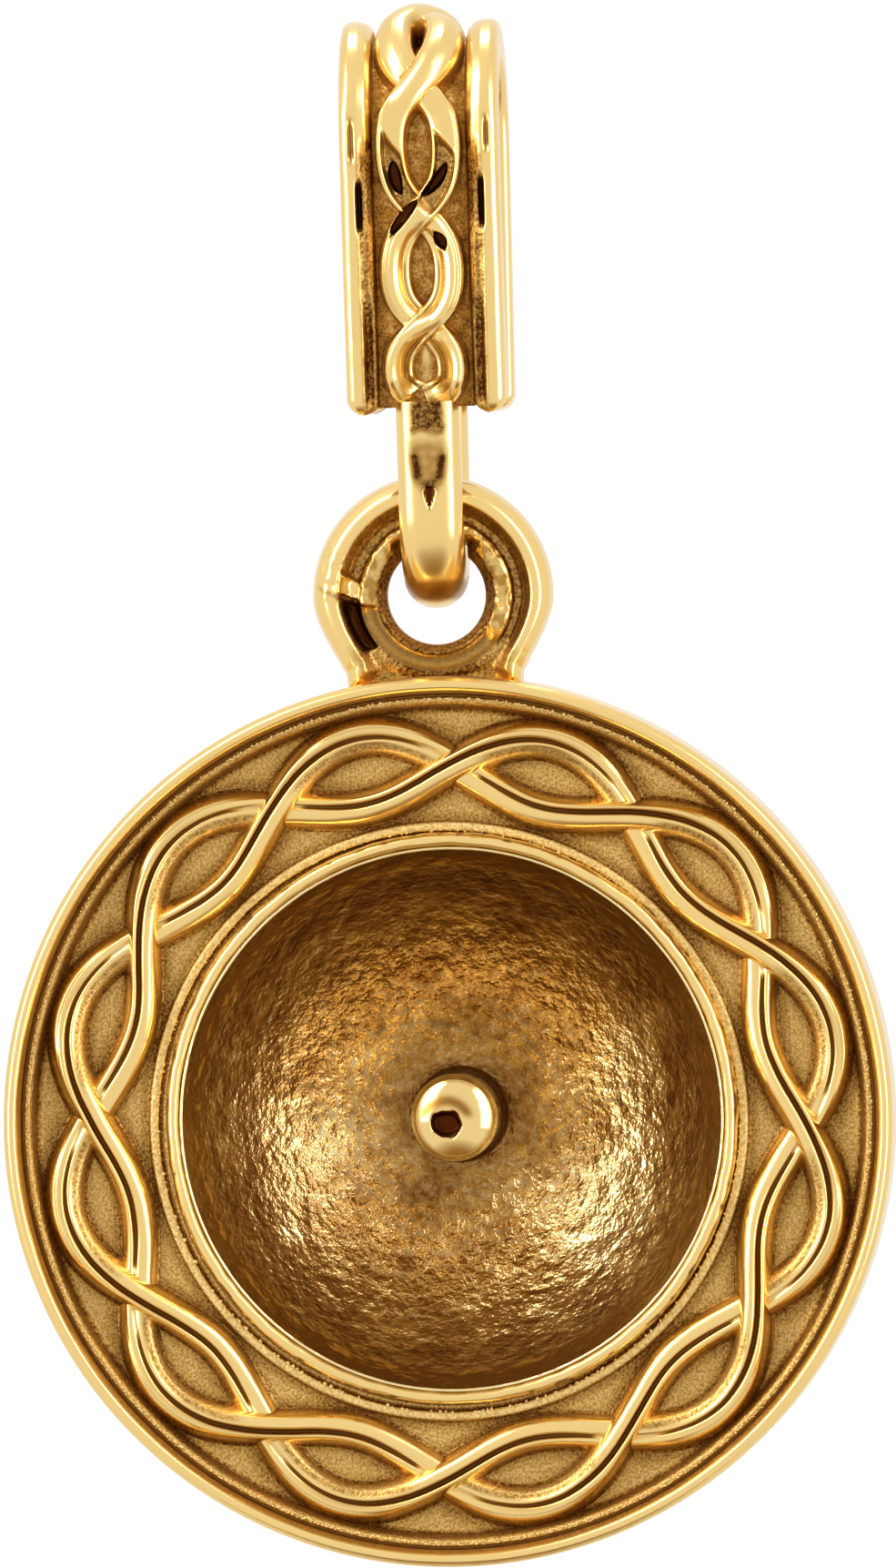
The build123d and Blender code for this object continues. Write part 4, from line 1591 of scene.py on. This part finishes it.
@dataclass
class BailTongue:
    """The narrow loop under the band that goes through the hanging ring."""

    path: BailPath
    half_width: float = 0.392
    top_z: float = -4.20
    flute_depth: float = 0.035
    drop_depth: float = 0.05
    # By height, half the width of the flute and of the drop, and how far the strokes are from the middle
    flute: tuple[tuple[float, float], ...] = (
        (-5.52, 0.030), (-5.34, 0.120), (-5.17, 0.185), (-5.00, 0.225), (-4.70, 0.240),
    )
    drop: tuple[tuple[float, float], ...] = (
        (-5.54, 0.006), (-5.40, 0.056), (-5.31, 0.062), (-5.26, 0.044),
    )
    strokes: tuple[tuple[float, float], ...] = ((-5.20, 0.125), (-4.84, 0.180))
    stroke_width: float = 0.052
    # By height
    drop_run: Span = Span(-5.54, -5.26, 0.012)
    arch_run: Span = Span(-5.46, -5.18, 0.05)
    middle_run: Span = Span(-5.20, -4.70, 0.10)
    stroke_run: Span = Span(-5.16, -4.86, 0.05)
    shadow_run: Span = Span(-4.60, -4.16, 0.05)
    underside_shade_run: Span = Span(-6.66, -6.42, 0.05)

    def loops(self) -> tuple[np.ndarray, np.ndarray]:
        """Outer and inner line of the loop as y and z, from the band's front edge to its back edge."""
        path = self.path
        hinge_z = path.layout.hinge_z
        start = path.length_at(self.top_z)
        outer_y = -float(path.place(np.array([start]), 0.0)[0][0])
        inner_tilt = math.asin(path.lean(path.seat_radius, path.tongue_inner_radius))
        drop = path.centre_z - self.top_z - 0.1 * path.seat_radius
        inner_y = path.seat_radius * math.cos(inner_tilt) - drop * math.tan(inner_tilt)
        made = []
        for radius, tilt, top_y in (
            (path.tongue_outer_radius, path.tilt, outer_y),
            (path.tongue_inner_radius, inner_tilt, inner_y),
        ):
            bend = np.array([-radius * math.cos(tilt), hinge_z - radius * math.sin(tilt)])
            top = np.array([-top_y, self.top_z])
            line = top + (bend - top) * np.linspace(0, 1, 80)[:, None]
            angle = np.linspace(tilt, math.pi / 2, 80)[1:]
            arc = np.stack([-radius * np.cos(angle), hinge_z - radius * np.sin(angle)], 1)
            front = np.concatenate([line, arc])
            made.append(np.concatenate([front, front[-2::-1] * np.array([-1, 1])]))
        return tuple(made)

    def build(self) -> bpy.types.Object:
        """Builds the loop from the band's front edge round the hinge to its back edge."""
        outer, inner = self.loops()
        half = self.half_width
        corners = [
            (0.0, 0.0, 0), (half * 0.45, 0.02, 0.30), (half * 0.82, 0.12, 0.25), (half, 0.34, 0.25),
            (half, 0.68, 0.25), (half * 0.85, 0.90, 0.20), (half * 0.45, 1.0, 0.20), (0.0, 1.0, 0),
        ]
        section = rounded(corners, step=0.022)
        section = np.concatenate([section, section[-2:0:-1] * np.array([-1, 1])])
        x = section[:, 0][None]
        # The outer face turns from flattish down the front to a wire's round under the hinge
        around = 0.52 * (1 - np.sqrt(1 - (section[:, 0] / half).clip(-1, 1) ** 2))
        rounder = smooth(-outer[:, 1], 5.95, 6.45)[:, None] * (section[:, 1] < 0.5)[None]
        share = section[:, 1] + rounder * np.maximum(around - section[:, 1], 0)
        share = share[..., None]
        yz = outer[:, None, :] * (1 - share) + inner[:, None, :] * share
        height = yz[..., 1]
        on_front = (yz[..., 0] < 0) * (section[:, 1] < 0.3)[None]
        # A flute runs down the front and ends in a pointed drop, as a graver leaves it; the drop's dark
        # is painted reflection
        off_middle = np.abs(x)
        run = smooth(height, -5.50, -5.20) * (1 - smooth(height, -4.86, -4.66)) * on_front
        flute = run * (1 - smooth(off_middle / read_table(self.flute, height), 0.20, 1.20))
        points = places(x, yz[..., 0] + self.flute_depth * flute, height)
        spots = noise_at(points, 0.09, 3.0)
        ragged = 0.05 * noise_at(points, 0.16, 7.0)
        shadow = self.shadow_run.of(height + ragged) * on_front
        shadow = shadow * hump(off_middle + ragged, -1.0, 0.20, 0.04)
        # Painted reflections: two dark strokes at the flute's upper corners, a brown arch under them,
        # then the dark drop; painted shade in the front's middle
        reflected_stroke = bell(off_middle, read_table(self.strokes, height), self.stroke_width)
        reflected_stroke = reflected_stroke * self.stroke_run.of(height) * on_front
        middle = self.middle_run.of(height) * (1 - smooth(off_middle, 0.16, 0.24)) * on_front
        reflected_arch = self.arch_run.of(height) * flute
        drop = self.drop_run.of(height) * on_front
        drop = drop * (1 - smooth(off_middle / read_table(self.drop, height), 0.80, 1.15))
        points[..., 1] += self.drop_depth * drop
        # Painted shade on the underside of the bend
        under = self.underside_shade_run.of(height) * (section[:, 1] < 0.5)[None]
        patchiness = 0.22 * spots
        patina = 0.46 * reflected_stroke + (0.42 + patchiness) * reflected_arch + drop
        patina = patina + (0.46 + patchiness) * shadow + 0.34 * under + (0.27 + 0.6 * patchiness) * middle
        grit = np.clip(reflected_arch + reflected_stroke + shadow, 0, 1) * 0.9
        surface = Surface()
        add_tube(surface, points, patina, grit)
        return surface.build("bail_tongue", POLISHED)


# The studio


@dataclass(frozen=True)
class Panel:
    """A soft light, given by where it stands round the pendant and how bright it looks."""

    name: str
    azimuth: float
    elevation: float
    width: float
    height: float
    brightness: float


@dataclass
class Studio:
    """White room, pale floor, soft panels and the camera of the photograph."""

    layout: Layout
    distance: float = 400.0
    azimuth: float = 3.0
    camera_height: float = -2.0
    aim_x: float = 0.070
    aim_z: float = -8.946
    roll: float = 1.6
    frame_height: float = 19.34
    frame_depth: float = -0.9
    sensor: float = 36.0
    room_brightness: float = 0.98
    seen_brightness: float = 1.05
    low_colour: str = "A4845A"
    panel_distance: float = 150.0
    floor_drop: float = 30.0
    floor_radius: float = 260.0
    floor_sides: int = 64
    floor_colour: str = "F7F6F4"
    floor_roughness: float = 0.9
    clip_start: float = 0.005
    clip_end: float = 2.0
    bounces: int = 6
    panels: tuple[Panel, ...] = (
        Panel("panel_left", -58, 30, 60, 220, 6.5),
        Panel("panel_right", 60, 14, 50, 200, 5.5),
        Panel("panel_back", 180, 66, 44, 34, 14.0),
    )

    def direction(self, azimuth: float, elevation: float) -> Vector:
        """Unit vector from the pendant towards an azimuth and elevation in degrees."""
        turn, rise = math.radians(azimuth), math.radians(elevation)
        level = math.cos(rise)
        return Vector((math.sin(turn) * level, -math.cos(turn) * level, math.sin(rise)))

    def room(self) -> None:
        """White room light, dimmer and warmer from below, and pure white where the camera sees it."""
        world = bpy.data.worlds.new("white_room")
        bpy.context.scene.world = world
        world.use_nodes = True
        world.node_tree.nodes.clear()
        add = partial(add_node, world.node_tree)
        mix = partial(add, "ShaderNodeMix", data_type="RGBA")
        towards = add("ShaderNodeTexCoord").outputs["Generated"]
        low_front = Vector((0.0, -0.20, -0.98)).normalized()
        facing = add("ShaderNodeVectorMath", {0: towards, 1: low_front}, operation="DOT_PRODUCT")
        share = add("ShaderNodeMapRange", {"Value": facing, "From Min": 0.78, "From Max": 0.97})
        shade = mix({"Factor": share, MIX_LOW: WHITE, MIX_HIGH: linear(self.low_colour)})
        seen = add("ShaderNodeLightPath").outputs["Is Camera Ray"]
        levels = {"Value": seen, "To Min": self.room_brightness, "To Max": self.seen_brightness}
        shown = mix({"Factor": seen, MIX_LOW: shade, MIX_HIGH: WHITE})
        light = {"Color": shown, "Strength": add("ShaderNodeMapRange", levels)}
        add("ShaderNodeOutputWorld", {0: add("ShaderNodeBackground", light)})

    def lights(self) -> None:
        """Soft panels at both sides and behind, unseen by the camera."""
        centre = Vector((0, 0, self.aim_z))
        for panel in self.panels:
            light = bpy.data.lights.new(panel.name, "AREA")
            light.shape = "RECTANGLE"
            light.size = panel.width * MM
            light.size_y = panel.height * MM
            light.energy = panel.brightness * math.pi * light.size * light.size_y
            holder = linked(panel.name, light)
            towards = self.direction(panel.azimuth, panel.elevation)
            holder.location = (centre + towards * self.panel_distance) * MM
            holder.rotation_mode = "QUATERNION"
            holder.rotation_quaternion = towards.to_track_quat("Z", "Y")
            holder.visible_camera = False

    def floor(self) -> bpy.types.Object:
        """The pale floor."""
        mesh = bpy.data.meshes.new("floor")
        floor_z = self.layout.disc_z - self.layout.disc_radius - self.floor_drop
        turn = full_turn(self.floor_sides)[:, 0]
        rim = places(self.floor_radius * np.cos(turn), self.floor_radius * np.sin(turn), floor_z) * MM
        mesh.from_pydata(rim.tolist(), [], [list(range(len(rim)))])
        made = linked("floor", mesh)
        material = bpy.data.materials.new("floor_paper")
        material.use_nodes = True
        paper = {"Base Color": linear(self.floor_colour), "Roughness": self.floor_roughness}
        feed(material.node_tree.nodes["Principled BSDF"], paper)
        mesh.materials.append(material)
        made.visible_glossy = False
        return made

    def camera(self) -> None:
        """Camera at the photograph's distance, turned a little to match the pendant's lean."""
        data = bpy.data.cameras.new("camera")
        data.sensor_width = self.sensor
        target = Vector((self.aim_x, 0, self.aim_z))
        place = Vector((0, 0, self.camera_height)) + self.direction(self.azimuth, 0) * self.distance
        place.x += self.aim_x
        data.lens = self.sensor * (self.distance + self.frame_depth) / self.frame_height
        data.clip_start = self.clip_start
        data.clip_end = self.clip_end
        camera = linked("camera", data)
        camera.rotation_mode = "QUATERNION"
        look = (target - place).to_track_quat("-Z", "Y")
        camera.rotation_quaternion = look @ Quaternion((0, 0, 1), math.radians(-self.roll))
        camera.location = place * MM
        bpy.context.scene.camera = camera

    def build(self) -> None:
        """Sets up the room, the lights, the floor and the camera."""
        self.room()
        self.lights()
        self.floor()
        self.camera()
        bpy.context.scene.view_settings.view_transform = "Standard"
        bpy.context.scene.cycles.glossy_bounces = self.bounces


def carried(made: bpy.types.Object, body: Body) -> None:
    """Hangs a finished piece on its body, in place of the CAD node of the same name."""
    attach(made, body.value)
    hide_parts(body.value)
    log.info("%s: %d faces", made.name, len(made.data.polygons))


def main() -> None:
    """Builds every piece in order, then the studio."""
    logging.basicConfig(level=logging.INFO, format="%(name)s: %(message)s")
    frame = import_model()
    layout = Layout.read(frame)
    disc = Disc(layout, RopePath())
    makers = (disc, CupLining(disc), Bezel(disc), PearlPost(disc), RopeBorder(disc))
    rim = {"radius": 5.216, "height": 1.186, "grain": 0.019, "count": 1200, "seed": 7}
    bezel = {"radius": 3.610, "height": 0.992, "grain": 0.024, "count": 520, "seed": 3}
    grains = (GrainLine(disc, "rim_grains", **rim), GrainLine(disc, "bezel_grains", **bezel))
    for maker in (*makers, *grains, HangingRing(disc)):
        carried(maker.build(), Body.PENDANT)
    path = BailPath(layout)
    for made in BailBand(path).build():
        carried(made, Body.BAIL)
    for maker in (BailTwist(path), BailTongue(path)):
        carried(maker.build(), Body.BAIL)
    Studio(layout).build()


if __name__ == "__main__":
    main()
